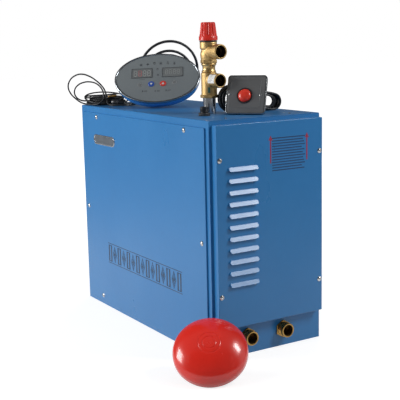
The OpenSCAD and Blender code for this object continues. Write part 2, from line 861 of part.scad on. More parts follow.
module switch_frame()
    color("#b9bcc0")
        at_switch(-switch_t)
            difference() {
                linear_extrude(switch_t) rounded(switch_w, switch_w, switch_r);
                translate([0, 0, switch_back]) linear_extrude(switch_t)
                    rounded(switch_in, switch_in, switch_r - switch_rim);
                translate([button_x, button_y, -1]) cylinder(r = button_hole_r, h = switch_t);
            }

module switch_plate()
    color("#55585c")
        at_switch(-switch_t + switch_back + gap / 2)
            difference() {
                linear_extrude(switch_t - switch_back - 2 * gap)
                    rounded(switch_in - gap, switch_in - gap, switch_r - switch_rim);
                translate([button_x, button_y, -1]) cylinder(r = button_hole_r, h = switch_t);
            }

module switch_box()
    color("#1b1c1e")
        at_switch(-switch_t - switch_box_d)
            difference() {
                union() {
                    linear_extrude(switch_box_d) rounded(switch_box_w, switch_box_w, 5);
                    gland(switch_cable_d / 2 + gland_wall, switch_gland_l);
                }
                translate([button_x, button_y, switch_box_d - button_stem_l - button_travel - 2])
                    cylinder(r = button_stem_r + 2, h = switch_box_d);
            }

module switch_collar()
    color("#2b2c2f")
        at_switch(-switch_t)
            translate([button_x, button_y, 0])
                difference() {
                    union() {
                        cylinder(r = button_hole_r - fit, h = switch_t);
                        translate([0, 0, switch_t - 1.5 * gap]) cylinder(r = collar_r, h = collar_t);
                    }
                    translate([0, 0, -1]) cylinder(r = button_r + button_gap, h = switch_t + collar_t + 2);
                }

module switch_button()
    color("#d8281e")
        at_switch(0)
            translate([button_x, button_y, 0]) {
                skirt = switch_t - button_travel - 2 * gap;
                translate([0, 0, -skirt]) cylinder(r = button_r, h = skirt + button_out / 4);
                intersection() {
                    translate([0, 0, button_out - button_dome_r]) sphere(button_dome_r);
                    cylinder(r = button_r, h = button_out);
                }
                translate([0, 0, -switch_t - button_stem_l])
                    cylinder(r = button_stem_r, h = button_stem_l + switch_t);
            }

module switch_lead()
    color("#17181a")
        tube(smooth(raised(switch_route, top_z), 1), switch_cable_d, 8, [0.5, 0.5, 0.8]);

module switch_hank()
    color("#17181a")
        translate([hank_at[0], hank_at[1], top_z + gap]) rotate([90, 0, hank_turn])
            translate([0, 0, -hank_deep / 2]) linear_extrude(hank_deep)
                hull() {
                    translate([0, hank_big_r]) circle(hank_big_r, $fn = 48);
                    translate([hank_l, hank_small_r]) circle(hank_small_r, $fn = 48);
                }

module switch_plug() color("#202124") plug([154.6, 30.4], hank_turn);

// ---- Steam head ----

module at_head() facing([head_at[0], head_at[1], head_rim_z], head_turn, head_lean) children();

// Half section of the dome, smaller by inset
module dome_section(inset) {
    r = head_r - inset;
    polygon(concat([[0, inset > 0 ? -1 : 0], [r, inset > 0 ? -1 : 0]],
        [for (i = [0:5:90]) [r * cos(i), head_skirt + (head_h - head_skirt - inset) * sin(i)]]));
}

module steam_head()
    color("#cf2a24")
        at_head()
            rotate_extrude($fn = 96)
                difference() {
                    dome_section(0);
                    dome_section(head_t);
                }

module steam_head_stem()
    color("#8d1f1b")
        at_head()
            difference() {
                union() {
                    cylinder(r = head_r - head_t - gap, h = head_plate_t);
                    translate([0, 0, -head_stem_l]) cylinder(r = head_stem_r, h = head_stem_l + 1);
                }
                translate([0, 0, -head_stem_l - 1]) cylinder(r = head_stem_bore_r, h = head_stem_l + 9);
            }

body_wrap();
floor_pan();
port_end_wall();
rear_end_wall();
side_panel();
back_panel();
louvre_cover();
rear_cover();
side_screws();
cover_screws();
badge();
inlet_port();
drain_port();
port_locknuts();
outlet_pipe();
pipe_locknut();
valve_tee();
valve_neck();
relief_body();
cap_ring();
relief_cap();
valve_tag();
panel_socket();
panel_shell();
panel_rim();
panel_face();
panel_windows();
panel_buttons();
panel_glands();
panel_cable();
panel_coil();
panel_plug();
sensor_lead();
sensor_coil();
sensor_tip();
switch_frame();
switch_plate();
switch_box();
switch_collar();
switch_button();
switch_lead();
switch_hank();
switch_plug();
steam_head();
steam_head_stem();
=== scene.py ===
import math

import bmesh
import bpy
from mathutils import Matrix, Vector


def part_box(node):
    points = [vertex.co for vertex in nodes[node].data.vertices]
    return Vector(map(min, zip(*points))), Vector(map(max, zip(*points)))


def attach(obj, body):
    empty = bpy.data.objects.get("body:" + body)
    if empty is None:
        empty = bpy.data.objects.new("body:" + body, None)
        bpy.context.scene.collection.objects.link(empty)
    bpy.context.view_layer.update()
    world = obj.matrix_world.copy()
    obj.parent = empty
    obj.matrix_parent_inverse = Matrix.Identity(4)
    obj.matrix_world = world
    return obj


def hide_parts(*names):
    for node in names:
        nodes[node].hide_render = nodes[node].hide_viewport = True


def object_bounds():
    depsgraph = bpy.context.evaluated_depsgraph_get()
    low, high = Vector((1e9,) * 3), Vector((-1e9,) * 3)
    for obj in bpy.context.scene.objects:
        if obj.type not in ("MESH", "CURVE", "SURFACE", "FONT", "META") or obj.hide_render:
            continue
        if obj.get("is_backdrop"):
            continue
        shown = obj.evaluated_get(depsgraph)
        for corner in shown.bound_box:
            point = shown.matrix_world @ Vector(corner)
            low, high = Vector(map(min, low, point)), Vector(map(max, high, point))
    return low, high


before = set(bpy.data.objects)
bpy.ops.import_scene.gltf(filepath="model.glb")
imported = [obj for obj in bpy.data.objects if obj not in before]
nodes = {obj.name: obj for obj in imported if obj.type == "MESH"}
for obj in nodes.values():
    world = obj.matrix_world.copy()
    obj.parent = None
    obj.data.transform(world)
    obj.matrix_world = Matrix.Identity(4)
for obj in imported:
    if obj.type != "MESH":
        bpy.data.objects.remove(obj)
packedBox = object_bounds()
mm = 0.001
print("packed model loaded,", len(nodes), "nodes")


def place(x, y, z):
    return Matrix.Translation((x * mm, y * mm, z * mm))


def turn(degrees, axis):
    return Matrix.Rotation(math.radians(degrees), 4, axis)


def middle(node):
    low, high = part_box(node)
    return (low + high) / 2


def facing(point, swing, lean, roll=0):  # local Z looks out of the face and local Y up it
    return Matrix.Translation(point) @ turn(swing, "Z") @ turn(90 - lean, "X") @ turn(roll, "Z")


def faceOf(node, swing, lean, roll=0):  # the same, at the middle of a node's front plane
    way = facing((0, 0, 0), swing, lean, roll)
    back = way.inverted()
    spots = [back @ v.co for v in nodes[node].data.vertices]
    across = [(min(s[i] for s in spots) + max(s[i] for s in spots)) / 2 for i in (0, 1)]
    return facing(way @ Vector((*across, max(s.z for s in spots))), swing, lean, roll)


# camera
view = {"swing": 58.524, "height": 10.248, "roll": -1.255, "spot": (1.85104, -1.11307, 0.67261),
    "lens": 83.2}
lens = bpy.data.cameras.new("camera")
lens.lens, lens.sensor_width, lens.clip_end = view["lens"], 36, 40
camera = bpy.data.objects.new("camera", lens)
camera.matrix_world = (Matrix.Translation(view["spot"]) @ turn(view["swing"], "Z")
                       @ turn(90 - view["height"], "X") @ turn(view["roll"], "Z"))
bpy.context.scene.collection.objects.link(camera)
bpy.context.scene.camera = camera
print("camera set")


# materials
def tint(code):  # a screen colour such as "#4d8fc6" as the shader wants it
    parts = [int(code[i:i + 2], 16) / 255 for i in (1, 3, 5)]
    return tuple(p / 12.92 if p <= 0.04045 else ((p + 0.055) / 1.055) ** 2.4 for p in parts) + (1,)


def newGroup(name, inputs, output):
    tree = bpy.data.node_groups.new(name, "ShaderNodeTree")
    forms = "NodeSocketFloat", "NodeSocketColor"
    for label, start in inputs.items():
        form = forms[isinstance(start, tuple)]
        tree.interface.new_socket(name=label, in_out="INPUT", socket_type=form).default_value = start
    tree.interface.new_socket(name=output, in_out="OUTPUT", socket_type=forms[output == "Colour"])
    return tree, tree.nodes.new("NodeGroupInput"), tree.nodes.new("NodeGroupOutput")


def join(tree, source, target, out=0, into=0):
    tree.links.new(source.outputs[out], target.inputs[into])


def newNode(tree, kind, **inputs):
    node = tree.nodes.new("ShaderNode" + kind)
    for label, value in inputs.items():
        node.inputs[label.replace("_", " ")].default_value = value
    return node


def noiseIn(tree, coords, scale, detail, ratio=None):
    noise = newNode(tree, "TexNoise", Detail=detail)
    join(tree, coords, noise, "Vector" if "Vector" in coords.outputs else "Object", "Vector")
    if ratio is None:
        noise.inputs["Scale"].default_value = scale
    else:
        join(tree, mathIn(tree, "MULTIPLY", scale, ratio, "Scale"), noise, 0, "Scale")
    return noise


def mathIn(tree, kind, a, b, aOut=0, bOut=0):
    step = newNode(tree, "Math")
    step.operation = kind
    for i, (value, out) in enumerate(((a, aOut), (b, bOut))):
        if isinstance(value, (int, float)):
            step.inputs[i].default_value = value
        else:
            join(tree, value, step, out, i)
    return step


def blended(tree, share, given, second, made):  # the given colour, part of the way to another of its colours
    blend = newNode(tree, "Mix")
    blend.data_type = "RGBA"
    join(tree, share, blend, 0, "Factor")
    join(tree, given, blend, "Colour", 6)
    join(tree, given, blend, second, 7)
    join(tree, blend, made, 2, "Colour")
    return tree


def driftGroup():  # slow change of colour with a finer speckle in it
    tree, given, made = newGroup("colourDrift", {"Colour": (1, 1, 1, 1), "Shade": (0, 0, 0, 1), "Scale": 8.0,
                                                 "Amount": 0.5}, "Colour")
    spot = newNode(tree, "TexCoord")
    slow, quick = noiseIn(tree, spot, given, 4, 1), noiseIn(tree, spot, given, 3, 14)
    both = mathIn(tree, "ADD", mathIn(tree, "MULTIPLY", slow, 0.75), mathIn(tree, "MULTIPLY", quick, 0.25))
    spread = newNode(tree, "MapRange", From_Min=0.36, From_Max=0.66)
    join(tree, both, spread, 0, "Value")
    return blended(tree, mathIn(tree, "MULTIPLY", spread, given, 0, "Amount"), given, "Shade", made)


def grainGroup():  # height of a fine grain over a broader unevenness
    tree, given, made = newGroup("surfaceGrain", {"Scale": 900.0, "Broad": 0.3}, "Height")
    spot = newNode(tree, "TexCoord")
    fine, broad = noiseIn(tree, spot, given, 2, 1), noiseIn(tree, spot, given, 2, 0.07)
    lifted = mathIn(tree, "MULTIPLY", broad, given, 0, "Broad")
    join(tree, mathIn(tree, "ADD", fine, lifted), made, 0, "Height")
    return tree


def smearGroup():  # roughness that wanders between two values, as handling and cleaning leave it
    tree, given, made = newGroup("handlingSmears", {"Scale": 9.0, "Low": 0.3, "High": 0.45}, "Roughness")
    stretch = newNode(tree, "Mapping", Scale=(1, 1.3, 0.45))
    join(tree, newNode(tree, "TexCoord"), stretch, "Object", "Vector")
    spread = newNode(tree, "MapRange", From_Min=0.33, From_Max=0.68)
    join(tree, noiseIn(tree, stretch, given, 5, 1), spread, 0, "Value")
    join(tree, given, spread, "Low", "To Min")
    join(tree, given, spread, "High", "To Max")
    join(tree, spread, made, 0, "Roughness")
    return tree


def dustAndSheenGroup():  # a thin pale film on what faces up, partly dust and partly a painted sheen that lightens the tops
    tree, given, made = newGroup("settledDust", {"Colour": (1, 1, 1, 1), "Dust": (0.5, 0.5, 0.5, 1),
                                                 "Amount": 0.1}, "Colour")
    parts = newNode(tree, "SeparateXYZ")
    join(tree, newNode(tree, "NewGeometry"), parts, "Normal", "Vector")
    spread = newNode(tree, "MapRange", From_Min=0.55)
    join(tree, parts, spread, "Z", "Value")
    cloud = mathIn(tree, "MULTIPLY", spread, noiseIn(tree, newNode(tree, "TexCoord"), 14.0, 6))
    return blended(tree, mathIn(tree, "MULTIPLY", cloud, given, 0, "Amount"), given, "Dust", made)


drift, grain, smears, dustAndSheen = driftGroup(), grainGroup(), smearGroup(), dustAndSheenGroup()
finishes = {}


def addFinish(name, slotName, colour, shade, amount, patch, low, high, metallic, scale, broad, bump,
              dustAndSheenShare=0.0, coat=0.0, coatRoughness=0.03):
    made = bpy.data.materials.new(name)
    made.use_nodes = True
    tree = made.node_tree
    shader = tree.nodes["Principled BSDF"]

    def placed(group, **values):
        node = newNode(tree, "Group")
        node.node_tree = group
        for label, value in values.items():
            node.inputs[label].default_value = value
        return node

    colours = placed(drift, Colour=tint(colour), Shade=tint(shade), Scale=patch, Amount=amount)
    # a pale film on up-facing faces: dust together with a painted sheen
    if dustAndSheenShare:
        film = placed(dustAndSheen, Dust=tint("#b9c2cb"), Amount=dustAndSheenShare)
        join(tree, colours, film, "Colour", "Colour")
        colours = film
    relief = newNode(tree, "Bump", Strength=bump, Distance=0.0004)
    join(tree, colours, shader, "Colour", "Base Color")
    join(tree, placed(smears, Scale=patch * 1.6, Low=low, High=high), shader, "Roughness", "Roughness")
    join(tree, placed(grain, Scale=scale, Broad=broad), relief, "Height", "Height")
    join(tree, relief, shader, "Normal", "Normal")
    for label, value in (("Metallic", metallic), ("Coat Weight", coat), ("Coat Roughness", coatRoughness)):
        shader.inputs[label].default_value = value
    finishes[name] = made, slotName


# name, slot, two colours, share, patches, roughness from and to, metallic, grain, broad, bump, dust with
# painted sheen on tops, coat
for row in (
    # the blue paint's up-facing faces are lightened by the pale film, dust with a painted sheen
    ("bluePaint", "blue_paint", "#2f7cba", "#2a74b1", 0.6, 5, 0.27, 0.34, 0, 1300, 0.5, 0.08, 0.06),
    ("zincScrew", "zinc_screw", "#c9ccd0", "#8f8a80", 0.6, 300, 0.18, 0.34, 1, 1500, 0.3, 0.05),
    ("chromeBadge", "chrome_badge", "#d7dade", "#b3b8bd", 0.5, 40, 0.14, 0.24, 1, 900, 0.3, 0.02),
    ("badgeField", "chrome_badge", "#8d949c", "#7b828a", 0.5, 40, 0.32, 0.42, 1, 2600, 0.3, 0.05),
    ("portBrass", "port_brass", "#a9874f", "#7c5f34", 0.5, 90, 0.2, 0.34, 1, 1400, 0.3, 0.06),
    # a darker brass for the inside of bores and outlets: painted shade
    ("boreShadeBrass", "port_brass", "#4c3a22", "#2e2213", 0.6, 90, 0.4, 0.55, 0.8, 1200, 0.3, 0.08),
    ("castBrass", "valve_brass", "#d0b27c", "#b2925c", 0.6, 70, 0.44, 0.56, 1, 620, 0.8, 0.3),
    ("neckBrass", "valve_brass", "#cfb37e", "#b0925c", 0.5, 90, 0.32, 0.44, 1, 1000, 0.3, 0.12),
    ("pipeChrome", "pipe_chrome", "#d0d4d9", "#aab0b6", 0.5, 60, 0.1, 0.2, 1, 900, 0.3, 0.02),
    ("capPlastic", "cap_red", "#dd3023", "#c2251b", 0.5, 60, 0.26, 0.36, 0, 1200, 0.3, 0.04),
    ("ringRubber", "rim_dark", "#3a2a24", "#241b18", 0.5, 90, 0.45, 0.6, 0, 1600, 0.3, 0.15),
    ("blackPlastic", "black_plastic", "#26282b", "#1a1b1d", 0.5, 60, 0.32, 0.46, 0, 1500, 0.3, 0.08),
    ("cableRubber", "cable_black", "#202225", "#15171a", 0.6, 40, 0.38, 0.52, 0, 1800, 0.3, 0.12),
    ("tagPaper", "tag_paper", "#efefec", "#dcdcd8", 0.6, 120, 0.6, 0.75, 0, 3000, 0.3, 0.15),
    # a dark green for a thin sheet on the tee below the tag: painted shade of that recess
    ("tagGreen", "tag_paper", "#2f5f52", "#27443f", 0.5, 300, 0.45, 0.6, 0, 2500, 0.3, 0.1),
    ("tagInk", "tag_paper", "#8b8d8f", "#77797b", 0.5, 300, 0.55, 0.7, 0, 2500, 0.3, 0.1),
    ("shellBlue", "panel_blue", "#3f8ad0", "#3880c4", 0.5, 10, 0.16, 0.24, 0, 900, 0.3, 0.02, 0, 0.4, 0.08),
    ("rimChrome", "rim_dark", "#a3a9ae", "#8b9197", 0.5, 20, 0.16, 0.26, 1, 1200, 0.3, 0.02),
    ("faceGrey", "panel_grey", "#71787b", "#696f73", 0.6, 14, 0.36, 0.46, 0, 2600, 0.3, 0.07),
    ("windowGrey", "window_grey", "#6c7071", "#626667", 0.6, 30, 0.1, 0.16, 0, 1800, 0.3, 0.015),
    ("windowFrame", "window_grey", "#4b4f52", "#43474a", 0.5, 30, 0.3, 0.4, 0, 1800, 0.3, 0.04),
    ("ghostPale", "window_grey", "#929595", "#898c8c", 0.5, 90, 0.2, 0.3, 0, 1800, 0.3, 0.02),
    ("ghostRed", "window_grey", "#a06668", "#945d5f", 0.5, 90, 0.2, 0.3, 0, 1800, 0.3, 0.02),
    ("ghostGrey", "window_grey", "#858989", "#7d8181", 0.5, 90, 0.2, 0.3, 0, 1800, 0.3, 0.02),
    ("keyBlue", "key_blue", "#2c4f9e", "#243f85", 0.5, 60, 0.24, 0.34, 0, 1500, 0.3, 0.03),
    ("keyRed", "button_red", "#c63f38", "#ac322e", 0.5, 60, 0.24, 0.34, 0, 1500, 0.3, 0.03),
    ("keyGrey", "panel_grey", "#7a7e80", "#6d7173", 0.5, 60, 0.34, 0.44, 0, 2200, 0.3, 0.04),
    ("markPale", "panel_grey", "#b9bcbd", "#a7aaab", 0.5, 200, 0.4, 0.5, 0, 2000, 0.3, 0.03),
    ("iconInk", "panel_grey", "#3f4347", "#34383b", 0.5, 200, 0.45, 0.55, 0, 2000, 0.3, 0.03),
    ("tipBrass", "tip_brass", "#b89150", "#8d6c37", 0.5, 200, 0.24, 0.36, 1, 1500, 0.3, 0.05),
    ("switchSilver", "switch_silver", "#a9adb0", "#8c9093", 0.5, 30, 0.24, 0.36, 1, 1500, 0.3, 0.03),
    ("switchGrey", "switch_grey", "#5d5e5f", "#545556", 0.6, 26, 0.44, 0.56, 0, 1500, 0.4, 0.22),
    ("switchLine", "switch_grey", "#8f9395", "#7d8183", 0.5, 60, 0.4, 0.5, 0, 1500, 0.3, 0.05),
    ("buttonRed", "button_red", "#d93a2a", "#c73022", 0.5, 60, 0.16, 0.26, 0, 1300, 0.3, 0.03),
    ("headRed", "head_red", "#e52b1e", "#d82518", 0.6, 12, 0.18, 0.28, 0, 1100, 0.3, 0.03, 0, 0.3, 0.1),
    ("stemRed", "head_red", "#a3201f", "#861a1a", 0.5, 40, 0.32, 0.42, 0, 1300, 0.3, 0.05),
    ("printInk", "blue_paint", "#263e58", "#1f354c", 0.6, 60, 0.42, 0.52, 0, 1300, 0.3, 0.08),
    ("labelInk", "blue_paint", "#1c3d66", "#173559", 0.5, 60, 0.42, 0.52, 0, 1300, 0.3, 0.08),
    ("labelRed", "blue_paint", "#a02c49", "#8c2441", 0.5, 60, 0.42, 0.52, 0, 1300, 0.3, 0.08)):
    addFinish(*row)
print(len(finishes), "finishes made")


# making and finishing a piece
def addPiece(name, finish, shape, way=None, stands="", body="root", edge=0.0, sharp=32, wall=0.0,
        outward=True):
    bm = gathered(*shape) if isinstance(shape, list) else shape
    if way is not None:
        moved(bm, way)
    bmesh.ops.remove_doubles(bm, verts=bm.verts, dist=1e-6)
    if outward:
        bmesh.ops.recalc_face_normals(bm, faces=bm.faces)
    if wall:
        bmesh.ops.solidify(bm, geom=bm.faces[:], thickness=wall * mm)
    mesh = bpy.data.meshes.new(name)
    bm.to_mesh(mesh)
    bm.free()
    mesh.shade_smooth()
    piece = bpy.data.objects.new(name, mesh)
    bpy.context.scene.collection.objects.link(piece)
    used = [finishes[one] for one in ([finish] if isinstance(finish, str) else finish)]
    for material, _ in used:
        mesh.materials.append(material)
    if edge:
        rounding = piece.modifiers.new("roundedEdges", "BEVEL")
        rounding.width, rounding.segments, rounding.profile = edge * mm, 2, 0.5
        rounding.limit_method, rounding.angle_limit = "ANGLE", math.radians(sharp)
    else:
        mesh.set_sharp_from_angle(angle=math.radians(sharp))
    if edge or wall:
        shading = piece.modifiers.new("evenShading", "WEIGHTED_NORMAL")
        shading.keep_sharp = not edge
    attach(piece, body)
    if stands:
        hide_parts(stands)
    return piece


def copyOf(node):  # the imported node's mesh, merged and with its flat faces made whole
    bm = bmesh.new()
    bm.from_mesh(nodes[node].data)
    bmesh.ops.remove_doubles(bm, verts=bm.verts, dist=1e-6)
    bmesh.ops.dissolve_limit(bm, angle_limit=math.radians(0.6), verts=bm.verts, edges=bm.edges)
    return bm


def moved(bm, matrix):
    bmesh.ops.transform(bm, matrix=matrix, verts=bm.verts)
    return bm


def gathered(*parts):
    whole = bmesh.new()
    for part in parts:
        mesh = bpy.data.meshes.new("part")
        part.to_mesh(mesh)
        part.free()
        whole.from_mesh(mesh)
        bpy.data.meshes.remove(mesh)
    return whole


def turned(profile, steps=64, sweep=360):  # spins (radius, height) pairs in millimetres about Z
    bm = bmesh.new()
    line = [bm.verts.new((r * mm, 0, z * mm)) for r, z in profile]
    edges = [bm.edges.new(pair) for pair in zip(line, line[1:])]
    bmesh.ops.spin(bm, geom=line + edges, cent=(0, 0, 0), axis=(0, 0, 1), angle=math.radians(sweep),
                   steps=steps, use_merge=sweep == 360)
    bmesh.ops.remove_doubles(bm, verts=bm.verts, dist=1e-7)
    return bm


def softened(bm, edges, width, steps=3):
    bmesh.ops.bevel(bm, geom=edges, offset=width * mm, offset_type="OFFSET", affect="EDGES", segments=steps,
                    profile=0.5, material=-1)
    return bm


def block(x, y, z, edge=0.0, steps=2):  # a box of that size in millimetres, about its middle
    bm = bmesh.new()
    bmesh.ops.create_cube(bm, size=1)
    bmesh.ops.scale(bm, vec=(x * mm, y * mm, z * mm), verts=bm.verts)
    return softened(bm, list(bm.edges), edge, steps) if edge else bm


def prism(radius, height, edge=0.6, spin=0):  # a hexagon nut standing on z = 0
    bm = bmesh.new()
    bmesh.ops.create_cone(bm, cap_ends=True, segments=6, radius1=radius * mm, radius2=radius * mm,
                          depth=height * mm)
    return moved(softened(bm, list(bm.edges), edge), turn(spin, "Z") @ place(0, 0, height / 2))


def plate(outline, thick, edge=0.0):  # a flat shape of (x, y) corners in millimetres, standing on z = 0
    bm = bmesh.new()
    face = bm.faces.new([bm.verts.new((x * mm, y * mm, 0)) for x, y in outline])
    grown = bmesh.ops.extrude_face_region(bm, geom=[face])["geom"]
    bmesh.ops.translate(bm, vec=(0, 0, thick * mm),
        verts=[g for g in grown if isinstance(g, bmesh.types.BMVert)])
    bmesh.ops.recalc_face_normals(bm, faces=bm.faces)
    top = [e for e in bm.edges if all(v.co.z > thick * mm * 0.9 for v in e.verts)]
    return softened(bm, top, edge) if edge else bm


# sinks the top inside a rim; its floor may get a second material
def dished(bm, rim, wall, depth, second=0):
    top = max(bm.faces, key=lambda f: (round(f.calc_center_median().z, 6), f.calc_area()))
    bmesh.ops.inset_individual(bm, faces=[top], thickness=rim * mm)
    bmesh.ops.inset_individual(bm, faces=[top], thickness=wall * mm, depth=-depth * mm)
    for face in bm.faces:
        face.material_index = 0
    top.material_index = second
    return bm


def arc(x, y, r, degrees):
    return x + r * math.cos(math.radians(degrees)), y + r * math.sin(math.radians(degrees))


def roundedOutline(w, h, r, steps=6):
    corners = ((w / 2 - r, h / 2 - r, 0), (r - w / 2, h / 2 - r, 90), (r - w / 2, r - h / 2, 180),
               (w / 2 - r, r - h / 2, 270))
    return [arc(x, y, r, a + 90 * k / steps) for x, y, a in corners for k in range(steps + 1)]


def ovalSkin(a, b, rings, sides, closed=(False, True)):  # rings of (inset, height) inside an oval
    bm = bmesh.new()
    bmesh.ops.create_circle(bm, segments=sides, radius=1, cap_ends=False)
    loop = list(bm.edges)
    around = list(bm.verts)
    ways = [v.co.copy() for v in around]
    level = around
    for count, (inset, z) in enumerate(rings):
        if count:
            grown = bmesh.ops.extrude_edge_only(bm, edges=loop)["geom"]
            fresh = [g for g in grown if isinstance(g, bmesh.types.BMVert)]
            byPlace = {tuple(round(c, 9) for c in v.co): v for v in fresh}
            level = [byPlace[tuple(round(c, 9) for c in v.co)] for v in level]
            loop = [g for g in grown if isinstance(g, bmesh.types.BMEdge) and
                all(v in set(level) for v in g.verts)]
        for v, w in zip(level, ways):
            v.co = Vector((w.x * (a - inset) * mm, w.y * (b - inset) * mm, z * mm))
        if (count == 0 and closed[0]) or (count == len(rings) - 1 and closed[1]):
            bm.faces.new(level)
    return bm


def castAsOne(bm, voxel=0.6, passes=4):  # one skin with small fillets, as a casting has
    mesh = bpy.data.meshes.new("casting")
    bmesh.ops.recalc_face_normals(bm, faces=bm.faces)
    bm.to_mesh(mesh)
    bm.free()
    rough = bpy.data.objects.new("casting", mesh)
    bpy.context.scene.collection.objects.link(rough)
    fuse = rough.modifiers.new("fuse", "REMESH")
    fuse.mode, fuse.voxel_size = "VOXEL", voxel * mm
    ease = rough.modifiers.new("ease", "SMOOTH")
    ease.factor, ease.iterations = 0.5, passes
    ready = bpy.data.meshes.new_from_object(rough.evaluated_get(bpy.context.evaluated_depsgraph_get()))
    bpy.data.objects.remove(rough)
    made = bmesh.new()
    made.from_mesh(ready)
    bpy.data.meshes.remove(ready)
    return made


def shadedInBore(bm, way, r, foot, head):  # gives what lies inside a bore its second material, a darker brass that paints the shade in there
    back = way.inverted()
    for face in bm.faces:
        spot = back @ face.calc_center_median() / mm
        if foot < spot.z < head and math.hypot(spot.x, spot.y) < r:
            face.material_index = 1
    return bm


# cables
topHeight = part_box("body_wrap")[1].z / mm
panelCable = {"diameter": 6.4, "length": 2.0, "start": [(-107.3, -21.5, 40.9), (-112, -18.2, 36.6),
    (-119, -15, 30.5), (-128, -12.6, 24), (-138, -10.8, 19), (-146, -11.8, 17.2), (-151.6, -14.9, 17.9),
    (-155.3, -19.4, 20.9)], "end": [(-159.1, -27.3, 23.2), (-157.5, -32, 24), (-154.6, -38, 22.6),
    (-152.6, -45, 18.2), (-154, -52.5, 11.5), (-160.5, -60, 6.4), (-169.5, -66, 4.4), (-179, -71.8, 4.8),
    (-188, -77, 7.6)], "loops": [(75.5, 0, 74, -76, -6.6), (51, -4, 62, -76, 0), (40, -4, 56, -70.3, -3.3),
    (36, 2.8, 52, -70.3, 3.3), (30, 5.5, 48, -76, 6.6)]}  # top, its depth, half width, bottom, depth
sensorLead = {"diameter": 3.8, "length": 4.7, "start": [(-132.5, -77.5, 24.5), (-138, -75, 18),
    (-148, -73, 9), (-161, -72.5, 3.6), (-176, -76, 2.4), (-187, -86, 2.4), (-198, -97, 2.4),
    (-210, -103.5, 2.4), (-221, -104.5, 4.5), (-230, -103.5, 12), (-237, -101.5, 24), (-243.5, -101, 35),
    (-253, -104.5, 47.5), (-264, -113.5, 60), (-278, -125, 71), (-295, -139, 77), (-310, -151, 73),
    (-321.5, -160.5, 61), (-325, -164, 45), (-321, -160, 29), (-310, -151, 15), (-297, -141.5, 5.5),
    (-283, -133.5, 2.5), (-267, -129.5, 2.4), (-250, -127, 2.6), (-238, -120.5, 6), (-233.5, -112, 15),
    (-237, -108.5, 28), (-245, -109.5, 41), (-257, -115, 52), (-272, -124.5, 57.5), (-289, -137.5, 56.5),
    (-303, -149, 48), (-309, -154.5, 35), (-308, -152.5, 22.5), (-304.5, -144.5, 13.5), (-302.5, -134, 10),
    (-301.5, -124.5, 9.3)], "columns": (33.9, 37.9, 42.0, 46.1), "rows": (2.4, 7.0, 11.7, 16.4),
    "loose": [(49.9, 20, 100), (54.8, 24, 170)]}  # radius, lift of its high side, where that is
switchCable = {
    "diameter": 5.0, "length": 2.7,
    "start": [(201.8, 31.3, 24.8), (198.2, 36.6, 21.8), (195.2, 42, 18.8), (192.4, 47, 16.8),
              (190.3, 51, 15.9), (188.4, 54.8, 15.3)],
    "spacing": 5.4, "turns": 3}


def laidCable(name, points, spec, stands):
    curve = bpy.data.curves.new(name, "CURVE")
    curve.dimensions, curve.resolution_u = "3D", 4
    curve.bevel_depth, curve.bevel_resolution, curve.use_fill_caps = spec["diameter"] / 2 * mm, 3, True
    line = curve.splines.new("BEZIER")
    line.bezier_points.add(len(points) - 1)
    for knot, point in zip(line.bezier_points, points):
        knot.co = Vector(point) * mm
        knot.handle_left_type = knot.handle_right_type = "AUTO"
    piece = bpy.data.objects.new(name, curve)
    bpy.context.scene.collection.objects.link(piece)
    curve.materials.append(finishes["cableRubber"][0])
    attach(piece, "root")
    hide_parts(*stands)
    length = sum((Vector(a) - Vector(b)).length for a, b in zip(points, points[1:]))
    print(name, "laid,", len(points), "points,", round(length * mm, 3), "m")
    return piece


def raised(points):
    return [(x, y, z + topHeight) for x, y, z in points]


def eased(t):
    return t * t * (3 - 2 * t)


def between(a, b, t):
    return a + (b - a) * t


def inPlace(way, spots):
    return [tuple((way @ (Vector(s) * mm)) / mm) for s in spots]


def panelLoops():  # five loops that stand behind the panel and share their lowest part
    way = facing(middle("panel_coil"), 74, -12)
    spots, side, depth = [], -76, 11.4
    for count, (top, topDepth, half, bottom, bottomDepth) in enumerate(panelCable["loops"]):
        begin = 226 if count == 0 else 270
        for angle in range(begin - (0 if count == 0 else 15), -91, -15):
            low, lowDepth = (side, depth) if angle > 90 else (bottom, bottomDepth)
            share = abs(angle - 90) / 180
            if count == 0 and angle > 90:
                share = ((angle - 90) / 148.7) ** 1.6
            y = (top + low) / 2 + (top - low) / 2 * math.sin(math.radians(angle))
            spots.append((arc(0, 0, half, angle)[0], y, between(topDepth, lowDepth, eased(share))))
        side, depth = bottom, bottomDepth
    for angle, radius, out in ((257, 78.4, 6.8), (246, 80.6, 7.4), (236, 80.4, 8.4)):
        spots.append((*arc(0, 0, radius, angle), out))
    return inPlace(way, spots)


def sensorTurns():  # fourteen turns in a pile, then two loose ones that lean up from the floor
    centre = middle("sensor_coil") / mm
    columns, rows = sensorLead["columns"], sensorLead["rows"]
    order = [(1, 2), (1, 1), (1, 0), (0, 0), (0, 1), (0, 2), (0, 3), (1, 3), (2, 3), (2, 2), (2, 1), (2, 0),
             (3, 0), (3, 1)] + sensorLead["loose"]
    floor, first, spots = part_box("sensor_coil")[0].z / mm, 263, []

    def level(spot, angle):
        if len(spot) == 3:
            return spot[0], rows[0] + spot[1] * (1 + math.cos(math.radians(angle - spot[2]))) / 2
        height = rows[spot[1]]
        if spot[0] > 1 and abs(angle % 360 - 253) < 28:  # makes room where the lead comes in
            height += 1.6 if height > 9 else -1.6 if height > 5 else 0
        return columns[spot[0]], height

    def laid(radius, height, angle):
        spots.append((*arc(centre.x, centre.y, radius, angle), floor + height))

    for count, spot in enumerate(order):
        after = order[min(count + 1, len(order) - 1)]
        for step in range(18):  # each turn changes level in its last 0.4
            share = eased(max(0, step / 18 - 0.6) / 0.4)
            angle = first + 20 * step
            here, there = level(spot, angle), level(after, angle)
            laid(between(here[0], there[0], share), between(here[1], there[1], share), angle)
    for angle, radius, height in ((283, 49, 18.6), (299, 46.5, 21), (315, 47, 21.6), (330, 48.2, 21.6)):
        laid(radius, height, angle)
    return spots


# its left end's middle, how it is turned, that end's height
hank = {"spot": (170, 1), "swing": 83, "rise": 30}


